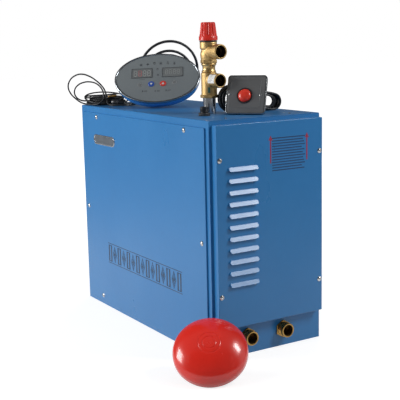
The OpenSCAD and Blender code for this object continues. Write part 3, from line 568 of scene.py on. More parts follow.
def hankTurns():  # nine racetrack turns, three across; the inner ones are shorter
    way = place(*hank["spot"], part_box("switch_hank")[0].z / mm + 0.5) @ turn(hank["swing"], "Z") @ turn(90,
        "X")
    gap, spots = switchCable["spacing"], []
    depth, heading = gap, -1
    for layer in range(3):
        for lap in range(switchCable["turns"]):
            big, small, reach, rise = ((17.5, 10.1, 68, 22.8), (22.6, 11.5 + 0.85 * lap, 103 - 8 * lap,
                19 + 0.85 * lap), (27.6, 16.5, 103, 19))[layer]
            tilt = math.degrees(math.asin((big - small) / math.hypot(reach, rise - hank["rise"])))
            slope = math.degrees(math.atan2(rise - hank["rise"], reach))
            right, left = [], []
            for a in range(0, 181, 30):  # round each end, from the lower run to the upper one and back
                right.append(arc(reach, rise, small, slope + between(-90 + tilt, 90 - tilt, a / 180)))
                left.append(arc(0, hank["rise"], big, slope + between(90 - tilt, 270 + tilt, a / 180)))
            runs = [[tuple(between(p, q, k / 4) for p, q in zip(a, b)) for k in (1, 2, 3)]
                    for a, b in ((right[-1], left[0]), (left[-1], right[0]))]
            stations = right + runs[0] + left + runs[1]
            end = lap == switchCable["turns"] - 1
            drop = 0 if end else heading * gap
            for k, spot in enumerate(stations[:-3] if end and layer == 2 else stations):
                spots.append((spot[0], spot[1], depth + drop * eased(k / len(stations))))
            depth += drop
        heading = -heading
    return inPlace(way, spots), way


panelPoints = raised(panelCable["start"]) + panelLoops() + raised(panelCable["end"])
sensorPoints = raised(sensorLead["start"]) + sensorTurns()
hankPoints, hankWay = hankTurns()
switchPoints = raised(switchCable["start"]) + hankPoints + inPlace(
    hankWay, [(6, 2.7, -7.2), (13.5, 4.3, -12.4), (21, 6.6, -17.8)])
panelLine = laidCable("panel_flex", panelPoints, panelCable, ("panel_cable", "panel_coil"))
sensorLine = laidCable("sensor_flex", sensorPoints, sensorLead, ("sensor_lead", "sensor_coil"))
switchLine = laidCable("switch_flex", switchPoints, switchCable, ("switch_lead", "switch_hank"))


def ribbed(r, start, end, count, depth):  # profile of a grip with shallow ribs
    step = (end - start) / count
    return [(r - depth * (k % 2), start + step * (k / 2)) for k in range(2 * count + 1)]


def plugPiece(name, r, bore):
    profile = [(0, -1), (bore, -1), (bore + 0.6, 0)] + ribbed(r * 0.62, 1, 10, 5, 0.7) + [
        (r * 0.75, 11), (r * 0.78, 12.4), (r * 0.92, 13.4), (r, 14.4)] + ribbed(r, 15, 26, 9, 0.35) + [
        (r, 27), (r * 0.9, 27.8), (r * 0.9, 33.2), (r * 0.86, 33.8), (r * 0.7, 33.8), (r * 0.7, 29), (0, 29)]
    pins = [moved(turned([(0, 32.6), (0.35, 32.6), (0.6, 32.2), (0.6, 28), (0, 28)], 12),
                  turn(72 * k, "Z") @ place(r * 0.4, 0, 0)) for k in range(5)]
    way = rearEnd(name)
    body = addPiece(name + "_body", "blackPlastic", turned(profile, 48), way, name)
    addPiece(name + "_pins", "tipBrass", pins, way)
    return body


def rearEnd(node):  # where a cable enters, with local Z on along its plug
    way = turn(heading[node], "Z")
    spots = [way.inverted() @ v.co for v in nodes[node].data.vertices]
    mids = [(min(s[i] for s in spots) + max(s[i] for s in spots)) / 2 for i in (1, 2)]
    return Matrix.Translation(way @ Vector((min(s.x for s in spots), *mids))) @ way @ turn(90, "Y")


heading = {"panel_plug": 208, "switch_plug": hank["swing"], "sensor_tip": 112}
panelPlug = plugPiece("panel_plug", 8, 3.5)
switchPlug = plugPiece("switch_plug", 8, 2.8)
tipProfile = [(0, 0), (2.2, 0), (2.6, 0.4), (2.6, 4), (2.1, 4.4), (2.1, 5.2), (2.6, 5.6), (2.6, 8),
    (2.1, 8.4), (2.1, 9.2), (3, 9.8), (3, 27), (2.7, 28.6), (1.9, 29.6), (0.8, 30), (0, 30)]
sensorTip = addPiece("sensor_probe", "tipBrass", turned(tipProfile, 32), rearEnd("sensor_tip"), "sensor_tip")
for piece, points, spec, tip, end in ((panelLine, panelPoints, panelCable, panelPlug, "plug"),
                                      (sensorLine, sensorPoints, sensorLead, sensorTip, "tool"),
                                      (switchLine, switchPoints, switchCable, switchPlug, "plug")):
    Vector(points[0]) * mm
print("cables laid")


# housing
housing = {"sheet": 1.2, "fold": 1.4, "corner": 2.2}
for node in ("body_wrap", "floor_pan", "port_end_wall", "rear_end_wall"):
    addPiece(node + "_sheet", "bluePaint", copyOf(node), stands=node, edge=0.35)


def foldedPan(w, h, depth, fold, corner):  # a pan open at the back, its face at z = depth
    bm = block(w, h, depth)
    bmesh.ops.translate(bm, vec=(0, 0, depth / 2 * mm), verts=bm.verts)
    posts = [e for e in bm.edges if abs(e.verts[0].co.z - e.verts[1].co.z) > depth * mm / 2]
    softened(bm, posts, corner, 4)
    rim = [e for e in bm.edges if all(v.co.z > depth * mm * 0.99 for v in e.verts)]
    softened(bm, rim, fold, 4)
    back = [f for f in bm.faces if all(v.co.z < 1e-6 for v in f.verts)]
    bmesh.ops.delete(bm, geom=back, context="FACES_ONLY")
    return bm


def nodeSize(node):
    low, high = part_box(node)
    return [(b - a) / mm for a, b in zip(low, high)]


# local Z out of that side of the housing, local Y up, at the node's foot plane
def onFace(node, axis, sign):
    low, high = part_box(node)
    spot = (low + high) / 2
    spot[axis] = (low if sign > 0 else high)[axis]
    return facing(spot, (0 if sign < 0 else 180) if axis == 1 else (90 if sign > 0 else -90), 0)


for node, sign in (("side_panel", -1), ("back_panel", 1)):
    w, depth, h = nodeSize(node)
    addPiece(node + "_pan", "bluePaint", foldedPan(w, h, depth, housing["fold"], housing["corner"]),
        onFace( node, 1, sign), node, outward=False, wall=housing["sheet"])

louvres = {"count": 11, "pitch": 24, "length": 73, "height": 9, "out": 6.5, "side": 26, "rise": 2,
    "wall": 1.2, "ends": 4.4, "round": 1.5, "back": 0.9, "slot": 3.4, "fold": 1.3, "corner": 1.6}


def louvreHood():  # pressed out of the sheet: closed above and at its ends, open below
    w, h, out = louvres["length"], louvres["height"], louvres["out"]
    bm = plate(roundedOutline(w, h, louvres["ends"], 5), out)
    front = [v for v in bm.verts if v.co.z > out * mm / 2]
    for v in front:
        fall = max(0, v.co.y / mm + h / 2 - 1) / (h - 1)
        v.co.z -= (out - louvres["back"]) * mm * fall
    lip = -h * mm / 2 + 1e-6
    ridge = [e for e in bm.edges if all(v in front for v in e.verts) and max(v.co.y for v in e.verts) > lip]
    bmesh.ops.delete(bm, geom=[f for f in bm.faces if f.normal.z < -0.9 or f.normal.y < -0.97],
                     context="FACES_ONLY")
    return softened(bm, ridge, louvres["round"], 4)


def coverPan(node, sign):
    depth, w, h = nodeSize(node)
    depth -= louvres["out"]
    bm = foldedPan(w, h, depth, louvres["fold"], louvres["corner"])
    x0 = -w / 2 + louvres["side"]
    lines = [x0 + 3, x0 + louvres["length"] - 3]
    rows = [louvres["rise"] + (k - (louvres["count"] - 1) / 2) * louvres["pitch"] for k in
        range(louvres["count"])]
    slots = [(row - louvres["slot"], row + louvres["slot"] - 1) for row in rows]
    for x, y, across in [(x, 0, (1, 0, 0)) for x in lines] + [(0, y, (0, 1, 0)) for slot in slots for y in
            slot]:
        bmesh.ops.bisect_plane(bm, geom=bm.verts[:] + bm.edges[:] + bm.faces[:], dist=1e-6,
                               plane_co=(x * mm, y * mm, 0), plane_no=across)
    openings = []
    for face in bm.faces:
        spot = face.calc_center_median() / mm
        if face.normal.z > 0.9 and lines[0] < spot.x < lines[1] and any(a < spot.y < b for a, b in slots):
            openings.append(face)
    bmesh.ops.delete(bm, geom=openings, context="FACES")
    hoods = [moved(louvreHood(), place(x0 + louvres["length"] / 2, row, depth)) for row in rows]
    return moved(gathered(bm, *hoods), onFace(node, 0, sign))


for node, sign in (("louvre_cover", 1), ("rear_cover", -1)):
    addPiece(node + "_pan", "bluePaint", coverPan(node, sign), stands=node, outward=False,
        wall=louvres["wall"], sharp=40)
rivet = {"r": 3, "h": 1.2, "x": 272.6, "y": 81.7}  # two closed rivets in the top, near the louvred end
rivets = []
for side in (-1, 1):
    button = turned([(0, rivet["h"]), (rivet["r"] * 0.5, rivet["h"] * 0.85),
        (rivet["r"] * 0.85, rivet["h"] * 0.4), (rivet["r"], 0), (0, 0)], 32)
    rivets.append(moved(button, place(rivet["x"], side * rivet["y"], topHeight)))
addPiece("top_rivets", "zincScrew", rivets)
for node in ("side_screws", "cover_screws"):
    addPiece(node + "_heads", "zincScrew", copyOf(node), stands=node, edge=0.12, sharp=25)

badge = {"rim": 2.0, "lip": 0.7, "behind": 0.6}
w, depth, h = nodeSize("badge")
shape = dished(plate(roundedOutline(w, h, h / 2 - 0.5, 12), depth - badge["behind"], 0.5), badge["rim"], 0.5,
               badge["lip"], 1)
addPiece("badge_plate", ("chromeBadge", "badgeField"), shape, onFace("badge", 1, -1), "badge")
print("housing made")

# a plain ruled ornament where the long side carries its print
band = {"left": -172, "right": 187, "foot": 118, "head": 168, "thick": 0.15, "motifs": 15, "margin": 4.5,
        "border": 1.6, "bar": 5.4, "apart": 6, "lozenge": 9.5, "stroke": 2.8, "small": 0.36}
bandWay = facing(Vector((0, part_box("side_panel")[0].y, 0)), 0, 0)


def strip(x, y, w, h, thick, edge):  # a thin bar that lies on z = 0
    return moved(block(w, h, thick, edge, 1), place(x, y, thick / 2))


def bandShapes():
    thick, edge, border = band["thick"], 0.05, band["border"]
    width, height = band["right"] - band["left"], band["head"] - band["foot"]
    level, middleX = (band["head"] + band["foot"]) / 2, (band["right"] + band["left"]) / 2
    tall = height - 2 * band["margin"]
    shapes = [strip(middleX, y, width, border, thick, edge)
              for y in (band["foot"] + border / 2, band["head"] - border / 2)]
    for k in range(band["motifs"]):
        x = band["left"] + width / band["motifs"] * (k + 0.5)
        if k % 2 == 0:
            shapes += [strip(x + side * band["apart"], level, band["bar"], tall, thick, edge) for side in
                (-1, 1)]
            shapes += [strip(x, level + end * (tall - border) / 2, 2 * band["apart"], border, thick, edge)
                       for end in (-1, 1)]
            continue
        for share in (1, band["small"]):
            half, rise = band["lozenge"] * share, tall * share / 2
            lozenge = plate([(x + half, level), (x, level + rise), (x - half, level), (x, level - rise)],
                thick)
            if share == 1:
                face = max(lozenge.faces, key=lambda f: f.calc_center_median().z)
                bmesh.ops.inset_individual(lozenge, faces=[face], thickness=band["stroke"] * mm)
                bmesh.ops.delete(lozenge, geom=[face], context="FACES")
            shapes.append(lozenge)
    return gathered(*shapes)


addPiece("side_ornament", "printInk", bandShapes(), bandWay)

# an empty ruled table between two slim arrows, where the louvred cover carries its notice
notice = {"left": 2, "right": 87.5, "head": 456, "foot": 389, "rows": 13, "line": 2.2, "thick": 0.12,
          "reach": (1, 0.94, 0.97, 1, 0.9, 0.98, 0.93), "arrows": (-1.8, 92.3)}
noticeWay = facing(Vector((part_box("louvre_cover")[1].x - louvres["out"] * mm, 0, 0)), 90, 0)
lines = []
for k in range(notice["rows"]):
    y = notice["head"] - (notice["head"] - notice["foot"]) * k / (notice["rows"] - 1)
    long = (notice["right"] - notice["left"]) * notice["reach"][k % len(notice["reach"])]
    lines.append(strip(notice["left"] + long / 2, y, long, notice["line"], notice["thick"], 0.03))
addPiece("notice_lines", "labelInk", lines, noticeWay)
arrowOutline = [(-1.5, 404.6), (1.5, 404.6), (1.5, 452), (5.2, 452), (0, 462.3), (-5.2, 452), (-1.5, 452)]
arrows = [plate([(x + dx, y) for dx, y in arrowOutline], notice["thick"]) for x in notice["arrows"]]
addPiece("notice_arrows", "labelRed", arrows, noticeWay)

# water ports
port = {"r": 15.5, "bore": 12.05, "flange": 19.5, "thick": 3, "out": 20, "in": -24}
for node in ("inlet_port", "drain_port"):
    spot = middle(node)
    spot.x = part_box(node)[1].x - port["out"] * mm
    way = Matrix.Translation(spot) @ turn(90, "Y")
    r, bore, back = port["r"], port["bore"], port["in"]
    threads = [(r - 0.55 * (k % 2), 4 + 0.9 * k) for k in range(12)]
    profile = [(bore, back), (r - 0.5, back), (r, back + 0.5), (r, 3.2), *threads, (r, 14.4), (r, 18.9),
        (r - 0.3, 19.6), (r - 1, 20), (bore + 1.2, 20), (bore + 0.3, 19.5), (bore, 18.8), (bore, back)]
    # faces inside the port's bore get the darker brass, painted shade
    tube = shadedInBore(turned(profile, 64), Matrix(), bore + 0.1, back - 1, 18)
    addPiece(node + "_tube", ("portBrass", "boreShadeBrass"), tube, way, node)
    addPiece(node + "_flange", "portBrass", prism(port["flange"], port["thick"], 0.7, 30), way)
for node, finish in (("port_locknuts", "portBrass"), ("pipe_locknut", "castBrass")):
    addPiece(node + "_rings", finish, copyOf(node), stands=node, edge=0.5)

# valve train
axis = middle("cap_ring")
axis.z = 0
onValve = Matrix.Translation(axis)


def zSpan(node):
    low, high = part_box(node)
    return low.z / mm, high.z / mm


# a side branch with a rounded lip and a bore
def outlet(z, reach, r=15.5, neck=14, bore=12.05, passage=9.5):
    profile = [(0, 0), (neck, 0), (neck, reach - 18.5), (r - 0.5, reach - 16.6), (r, reach - 15.4),
               (r, reach - 1.6), (r - 0.5, reach - 0.5), (r - 1.4, reach), (bore + 1.1, reach),
               (bore, reach - 1.1), (bore, reach - 16), (passage, reach - 16), (passage, reach - 27),
               (0, reach - 27)]
    return moved(turned(profile, 64), place(0, 0, z) @ turn(90, "Y"))


low, high = zSpan("outlet_pipe")
pipe = {"bore": 10.5, "r": 14, "ring": 506, "shoulder": 533.2, "tail": 13}
r, bore, tail = pipe["r"], pipe["bore"], pipe["tail"]
profile = [(bore, low), (r - 0.4, low), (r, low + 0.6), (r, pipe["ring"]), (r, pipe["shoulder"]),
           (tail, pipe["shoulder"] + 0.3), (tail, high), (bore, high), (bore, low)]
addPiece("steam_pipe", "pipeChrome", turned(profile, 72), onValve, "outlet_pipe")

foot, head = zSpan("valve_tee")
teeOutlet, teeReach = 571.36, (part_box("valve_tee")[1].x - axis.x) / mm
tee = gathered(
    moved(prism(20.4, 6.6, 0.7, 15), place(0, 0, foot)),
    turned([(0, foot + 5), (17.2, foot + 5), (17.2, head - 4.5), (16.9, head - 2.6), (16, head - 1),
            (14.6, head), (0, head)], 64),
    outlet(teeOutlet, teeReach))
# faces inside the outlet's bore get the darker brass, painted shade
tee = shadedInBore(castAsOne(tee), place(0, 0, teeOutlet) @ turn(90, "Y"), 12.6, teeReach - 30, teeReach - 1.4)
addPiece("tee_casting", ("castBrass", "boreShadeBrass"), tee, onValve, "valve_tee", sharp=60)

low, high = zSpan("valve_neck")
neckFoot, (neckHead, reliefHead) = head, zSpan("relief_body")
waist = [(13.2, 0), (15.4, 0.2), (16, 1), (15.8, 1.9), (14.6, 3), (13.8, 5), (13.6, 8), (13.9, 11.5),
    (14.9, 14), (16.2, 15.4), (16.6, 16.4), (16.4, 17.6)]
profile = [(9.5, low), (13.2, low), *[(r, neckFoot + z) for r, z in waist], (15.4, neckHead),
    (13.2, neckHead), (13.2, high), (9.5, high), (9.5, low)]
addPiece("neck_union", "neckBrass", turned(profile, 72), onValve, "valve_neck", sharp=50)

ringFoot, ringHead = zSpan("cap_ring")
reliefOutlet, reliefReach = 632.5, (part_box("relief_body")[1].x - axis.x) / mm
bonnet = [(0, 5), (15.5, 5), (16.6, 9), (17.6, 13), (18, 18), (17.4, 23), (16.2, 26.5), (15.6, 28),
    (15.9, 29.3), (17.6, 31), (18.5, 32.8), (18.6, 34.5)]
relief = gathered(moved(prism(18.6, 7.6, 1.0, 15), place(0, 0, neckHead)),
    turned([*[(r, neckHead + z) for r, z in bonnet], (18.6, ringFoot - 0.9), (18, ringFoot), (0, ringFoot)],
    64), turned([(0, ringFoot - 2), (5.95, ringFoot - 2), (5.95, reliefHead), (0, reliefHead)], 32),
    outlet(reliefOutlet, reliefReach, 16.0, 14.2, 12.3))
knob = moved(turned([(0, -6), (3.2, -6), (3.4, 1.6), (2.9, 2.7), (1.6, 3.3), (0, 3.5)], 24),
             place(13.2, 1.6, neckHead + 5.5) @ turn(90, "Y"))
# faces inside the relief outlet's bore get the darker brass, painted shade
relief = shadedInBore(castAsOne(gathered(relief, knob)), place(0, 0, reliefOutlet) @ turn(90, "Y"), 12.9,
               reliefReach - 30, reliefReach - 1.4)
addPiece("relief_casting", ("castBrass", "boreShadeBrass"), relief, onValve, "relief_body", sharp=60)
seal = [(6.05, ringFoot), (18.6, ringFoot), (19.1, ringFoot + 0.5), (19.2, ringFoot + 1.5),
    (19.1, ringHead - 0.5), (18.4, ringHead), (6.05, ringHead), (6.05, ringFoot)]
addPiece("cap_seal", "ringRubber", turned(seal, 64), onValve, "cap_ring")

cap = {"flutes": 10, "share": 0.24, "deep": 1.7, "collar": 9, "run": 2.5, "fade": (35, 38.6), "bore": 6.1,
       "boreDeep": 22}
capRings = [(6.1, 0), (19.6, 0), (20.2, 0.6), (20.2, 8.2), (19.7, 9), (19.0, 9.2), (18.7, 11), (18.3, 14),
    (17.7, 19), (17.1, 24), (16.5, 29), (15.9, 34), (15.5, 36.4), (14.6, 37.8), (13.2, 38.5), (8, 38.5)]


def flutedCap(foot):
    bm = ovalSkin(1, 1, [(1 - r, foot + z) for r, z in capRings], 160)
    last, end = cap["fade"]
    for v in bm.verts:
        z, r = v.co.z / mm - foot, math.hypot(v.co.x, v.co.y) / mm
        if z < cap["collar"] + 0.05 or r < 9:
            continue
        swing = math.atan2(v.co.y, v.co.x) * cap["flutes"] / math.tau
        inside = 1 - abs(swing - round(swing)) / cap["share"]
        if inside > 0:
            depth = cap["deep"] * math.sqrt(min(1, inside)) * min(1, (z - cap["collar"]) / cap["run"])
            depth *= 1 if z < last else max(0, (end - z) / (end - last))
            v.co.x *= (r - depth) / r
            v.co.y *= (r - depth) / r
    top = foot + cap["boreDeep"]
    return gathered(bm, turned([(cap["bore"], foot), (cap["bore"], top), (0, top)], 40))


addPiece("relief_handwheel", "capPlastic", flutedCap(zSpan("relief_cap")[0]), onValve, "relief_cap",
    body="cap", sharp=38)

tagWay = Matrix.Translation((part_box("valve_tag")[0].x, axis.y, teeOutlet * mm)) @ turn(90, "Y") @ turn(-90,
    "Z")
tagWide = nodeSize("valve_tag")[0]


def wrapped(r, thick, foot, head, start, sweep, steps=14):  # a strip of thin sheet bent round the axis
    strip = turned([(r, foot), (r + thick, foot), (r + thick, head), (r, head), (r, foot)], steps, sweep)
    bmesh.ops.holes_fill(strip, edges=strip.edges, sides=0)
    return moved(strip, turn(start, "Z"))


addPiece("paper_tag", "tagPaper", wrapped(15.7, 0.7, 0, tagWide, -53, 71), tagWay, "valve_tag", edge=0.12)
lines = [wrapped(16.38, 0.06, 3, tagWide - wide, start, 3, 3) for start, wide in
         ((-42, 5), (-33, 9), (-24, 4), (-15, 8), (-6, 5), (3, 11))]
addPiece("tag_lines", "tagInk", lines, tagWay)
# a thin dark green sheet on the tee below the tag, painting the shade of the recess there
addPiece("green_shade_sheet", "tagGreen", wrapped(17.15, 0.3, 545, 557, -42, 17, 6), onValve)

socketWay = middle("panel_socket")
socketWay.z = topHeight * mm
socketWay = Matrix.Translation(socketWay)
profile = [(0, -10), (7.2, -10), (7.5, -9.6), (7.5, 0.2), (9, 0.2), (9, 6.4), (8.5, 7), (8.5, 8), (9, 8.4),
    *ribbed(9, 8.8, 14.8, 6, 0.35), (9, 15.4), (9, 18.2), (8.4, 19), (6.6, 19), (6, 18.4), (6, 4), (0, 4)]
addPiece("socket_barrel", "blackPlastic", turned(profile, 64), socketWay, "panel_socket")
addPiece("socket_nut", "blackPlastic", prism(14, 6), socketWay)
print("valve train made")

# control panel
panel = {"a": 102, "b": 69.5, "turn": 54, "lean": 37, "roll": 2, "drop": 1.2, "window": (50, 27, 1.5),
    "windowX": 36.5}
panelWay = faceOf("panel_rim", panel["turn"], panel["lean"], panel["roll"])
shellRings = [(16, -36), (12, -35.6), (9, -34), (7, -31.6), (5.2, -28), (3.6, -23), (2.4, -18), (1.5, -13),
    (1.0, -9), (1.1, -7.4), (3, -7.3)]
rimRings = [(4.4, -5.0), (4.4, -1.6), (3.9, -0.7), (3.0, -0.15), (2.0, 0), (1.0, -0.3), (0.3, -1.1),
    (0, -2.2), (0, -5.8), (0.4, -6.7), (1.2, -7)]
faceRings = [(4.5, -4.2), (4.5, -1.7), (4.8, -1.3), (5.3, -1.2)]


def panelSkin(rings, closed=(False, True)):
    return ovalSkin(panel["a"], panel["b"], rings, 120, closed)


addPiece("panel_shell_skin", "shellBlue", panelSkin(shellRings), panelWay, "panel_shell")
addPiece("panel_rim_ring", "rimChrome", panelSkin(rimRings, (True, True)), panelWay, "panel_rim", sharp=50)
addPiece("panel_membrane", "faceGrey", panelSkin(faceRings), panelWay, "panel_face")
onPanel = panelWay @ place(0, 0, -panel["drop"])


windows = [moved(dished(plate(roundedOutline(*panel["window"]), 0.8, 0.3), 1.3, 0.25, 0.35, 1),
    place(x, 14.5, 0)) for x in (-panel["windowX"], panel["windowX"])]
addPiece("display_windows", ("windowFrame", "windowGrey"), windows, onPanel, "panel_windows")


def segments(x, y, w, h, t=1.5):  # the seven bars of a dark display digit
    bars = [(0, h / 2, w - t, t), (0, 0, w - t, t), (0, -h / 2, w - t, t)]
    bars += [(sx * w / 2, sy * h / 4, t, h / 2 - t * 0.8) for sx in (-1, 1) for sy in (-1, 1)]
    return [moved(block(bw, bh, 0.08), place(x + bx, y + by, 0.5)) for bx, by, bw, bh in bars]


digit = (14, 6.6, 15)  # height of its middle, width, height
paleBars = [bar for x in (-52, -30.5, -20) for bar in segments(x, *digit)]
greyBars = [bar for x in (22, 31, 41, 50) for bar in segments(x, 15, 5.4, 12, 1.2)]
addPiece("display_digits", "ghostPale", paleBars, onPanel)
addPiece("display_red_digits", "ghostRed", segments(-41, *digit), onPanel)
addPiece("display_grey_digits", "ghostGrey", greyBars, onPanel)
downKey, upKey, plainKeys, keyTop = (-14, -17), (14, -17), ((-41.4, -18), (40.9, -14.8)), 1.4


def roundKey(x, y, r=7.6, h=keyTop):
    return moved(turned([(0, h), (r - 1.4, h), (r - 0.6, h - 0.25), (r - 0.1, h - 0.8), (r, 0), (0, 0)],
        48), place(x, y, 0))


addPiece("down_key", "keyBlue", roundKey(*downKey), onPanel, "panel_buttons")
addPiece("up_key", "keyRed", roundKey(*upKey), onPanel)
arrowShapes = [moved(plate([(-3.6, 2.4), (0, -3.6), (3.6, 2.4)], 0.12), place(*downKey, keyTop)),
               moved(plate([(3.6, -2.6), (0, 3.6), (-3.6, -2.6)], 0.12), place(*upKey, keyTop))]
addPiece("key_arrows", "markPale", arrowShapes, onPanel)
addPiece("plain_keys", "keyGrey", [roundKey(*at, 6.2, 0.5) for at in plainKeys], onPanel)


def ringMark(x, y, r, w=0.8, h=0.15):
    return moved(turned([(r - w, 0), (r, 0), (r, h), (r - w, h), (r - w, 0)], 32), place(x, y, 0))


def barMark(x, y, w, h, spin=0):
    return moved(block(w, h, 0.15), place(x, y, 0.08) @ turn(spin, "Z"))


icons = []
for k, (x, y) in enumerate(((-39.4, 39.7), (-23.3, 40.8), (-7.3, 41.9), (8.3, 42.1), (24.6, 41.2),
        (40.6, 39.1))):
    low = y - 1.2
    icons.append(ringMark(x, low, 2.4, 1.7 if k in (0, 3, 5) else 0.8))
    bars = {1: [(x, low, 0.8, 6.4), (x, low, 6.4, 0.8)], 2: [(x, y + 1.6, 5.4, 0.7), (x, y + 3, 5.4, 0.7)],
            4: [(x, y + 2.6, 0.8, 2.6), (x, y + 3.8, 3, 0.7)],
            5: [(x, y + 2.4, 0.7, 3.4), (x - 1.5, y + 3.2, 0.6, 2.4, 30), (x + 1.5, y + 3.2, 0.6, 2.4, -30)]}
    rays = [(*arc(x, low, 3.6, 45 * i), 1.4, 0.6, 45 * i) for i in range(8)]
    icons += [barMark(*bar) for bar in (rays if k in (0, 3) else bars[k])]
for x, y in ((0.4, 24.2), (1.6, 7.3)):
    icons += [ringMark(x, y, 2.2), barMark(x, y + 2.9, 5, 0.7)]
icons += [barMark(-36, -3.4, 14, 0.6), barMark(37, -2.4, 14, 0.6)]
addPiece("panel_icons", "iconInk", icons, onPanel)
marks = []
for x, y in ((-28.5, -36.4), (1.2, -37.2), (26.9, -36.7)):
    marks += [barMark(x - 5.5, y + 0.4, 2.2, 4.4), *[barMark(x + 1.5, y + dy, 7, 0.8) for dy in (1.2, -1.2)]]
marks += [moved(ringMark(0, 0, 2.6, 0.7), place(*at, 0.5)) for at in plainKeys]
addPiece("panel_marks", "iconInk", marks, onPanel)


def gland(r, long, ribs):  # a tapered sleeve, widest at the housing
    sleeve = [(r * (0.62 + 0.38 * k / (2 * ribs)) - 0.45 * (k % 2), -long + long * k / (2 * ribs))
              for k in range(2 * ribs + 1)]
    return turned([(0, -long), *sleeve, (r, 0.4), (0, 0.4)], 40)


behind = panelWay @ place(0, 0, -36)
glands = gathered(moved(gland(6.7, 14, 6), behind), moved(gland(5.4, 7, 3), behind @ place(-60, -20, 0)))
addPiece("panel_strain_reliefs", "blackPlastic", glands, stands="panel_glands")
print("control panel made")

# push switch
switch = {"turn": 41, "lean": 23, "button": (-3, -3), "size": 86, "thick": 7, "corner": 7, "rim": 1.4,
          "cover": 81.3, "coverThick": 6.2, "coverCorner": 4.8, "box": (50, 50, 28), "field": (66, 63),
          "screws": ((-35.4, 1), (32, -1.4))}
switchWay = faceOf("switch_frame", switch["turn"], switch["lean"])
size, thick = switch["size"], switch["thick"]
bezel = dished(plate(roundedOutline(size, size, switch["corner"], 8), thick, 0.8), switch["rim"], 0.4,
    thick - 2)
addPiece("switch_bezel", "switchSilver", moved(bezel, place(0, 0, -thick)), switchWay, "switch_frame")
cover = plate(roundedOutline(switch["cover"], switch["cover"], switch["coverCorner"], 8),
    switch["coverThick"], 0.5)
addPiece("switch_cover", "switchGrey", moved(cover, place(0, 0, -6.5)), switchWay, "switch_plate")
field = dished(plate(roundedOutline(*switch["field"], 2), 0.5, 0.2), 0.7, 0.2, 0.25)
addPiece("switch_inner_field", "switchGrey", field, switchWay @ place(-3, 1.5, -0.35))
addPiece("switch_side_line", "switchLine", moved(block(0.7, 56, 0.3, 0.1), place(30.6, 2, 0.1)), switchWay)
screwHead = [(0, 0.1), (1.2, 0.1), (1.6, 0.6), (2.4, 0.75), (3, 0.4), (3.1, -0.3), (0, -0.3)]
screws = [moved(turned(screwHead, 32), place(*at, -0.2)) for at in switch["screws"]]
addPiece("switch_screws", "zincScrew", screws, switchWay)
box = [moved(block(*switch["box"], 3, 4), place(0, 0, -21)), moved(gland(6, 7, 3), place(0, 0, -35))]
addPiece("switch_back_box", "blackPlastic", box, switchWay, "switch_box")
atButton = switchWay @ place(*switch["button"], 0)
collar = [(14.5, -7), (15.95, -7), (15.95, -0.45), (17.5, -0.4), (17.5, 0.9), (17.1, 1.4), (16.4, 1.6),
    (15.2, 1.3), (14.5, 0.5), (14.5, -7)]
addPiece("button_collar", "blackPlastic", turned(collar, 64), atButton, "switch_collar")
button = [(0, 9), (3, 8.85), (6, 8.35), (8.5, 7.55), (10.6, 6.4), (12.2, 5.1), (13.3, 3.7), (13.9, 2.3),
    (14, 1), (14, -3.4), (8, -3.4), (8, -15), (0, -15)]
addPiece("button_dome", "buttonRed", turned(button, 72), atButton, "switch_button", body="button", sharp=50)
print("switch made")

# steam head
dome = {"r": 75, "height": 45, "skirt": 8, "wall": 3, "grooves": (13.6, 22.4), "cut": 0.6, "soft": 0.85,
    "turn": 54, "lean": 50}
headWay = faceOf("steam_head", dome["turn"], dome["lean"]) @ place(0, 0, -dome["height"])


def domeHeight(r, inset=0):
    wide = dome["r"] - inset
    rise = dome["skirt"] + (dome["height"] - dome["skirt"] - inset) * math.sqrt(max(0, 1 - (r / wide) ** 2))
    if not inset:
        rise -= sum(dome["cut"] * math.exp(-((r - g) / dome["soft"]) ** 2) for g in dome["grooves"])
    return rise


def domeShell():
    r, wall = dome["r"], dome["wall"]
    radii = [r * math.sin(math.radians(a)) for a in range(90, 20, -2)] + [25.5 - 0.42 * k for k in range(45)]
    outer = [(r - 1.4, 0), (r - 0.3, 0.4), (r, 1.2), (r, 4)] + [(d, domeHeight(d)) for d in radii +
        [6.2, 4, 2, 0]]
    inner = [(d, domeHeight(d, wall)) for d in (0, 12, 24, 36, 46, 55, 62, 67, 70, 71.4, r - wall)]
    return turned(outer + inner + [(r - wall, 0), (r - 1.4, 0)], 120)


addPiece("steam_head_dome", "headRed", domeShell(), headWay, "steam_head", sharp=50)
stem = {"long": 51.85, "bore": 9.7, "r": 13.2, "pitch": 1.0, "crests": 39}
foot = -stem["long"]
threads = [(stem["r"] - 0.7 * (k % 2), foot + 1.8 + stem["pitch"] * k) for k in range(stem["crests"])]
profile = [(stem["bore"], foot), (12.4, foot), (13.2, foot + 0.9), *threads, (12.9, -9.5), (12.9, -5),
    (16.5, -3.6), (18, -1.2), (18, 0), (71.2, 0), (71.7, 0.5), (71.7, 3), (stem["bore"], 3),
    (stem["bore"], foot)]
addPiece("steam_head_stem_piece", "stemRed", turned(profile, 96), headWay, "steam_head_stem")
print("steam head made")

# floor and light
studio = {"world": 0.235, "floor": 0.42, "glow": (0.76, 0.98), "near": 0.75, "far": 0.10,
    "fade": (0.7, 1.8), "key": 59, "over": 19.5, "strips": 7, "back": 26, "dim": 0.12, "wall": (0.15, 0.45),
    "roof": (0.35, 0.8)}
ahead = Vector((0.853, -0.522, 0))  # level, from the object towards the camera


def ramp(tree, source, out, span, first, last):
    node = newNode(tree, "MapRange", From_Min=span[0], From_Max=span[1], To_Min=first, To_Max=last)
    join(tree, source, node, out, "Value")
    return node


def chosen(tree, rays, *kinds):  # 1 where the ray is any of these kinds
    found = mathIn(tree, "MAXIMUM", rays, rays, kinds[0], kinds[-1])
    for kind in kinds[1:-1]:
        found = mathIn(tree, "MAXIMUM", found, rays, 0, kind)
    return found


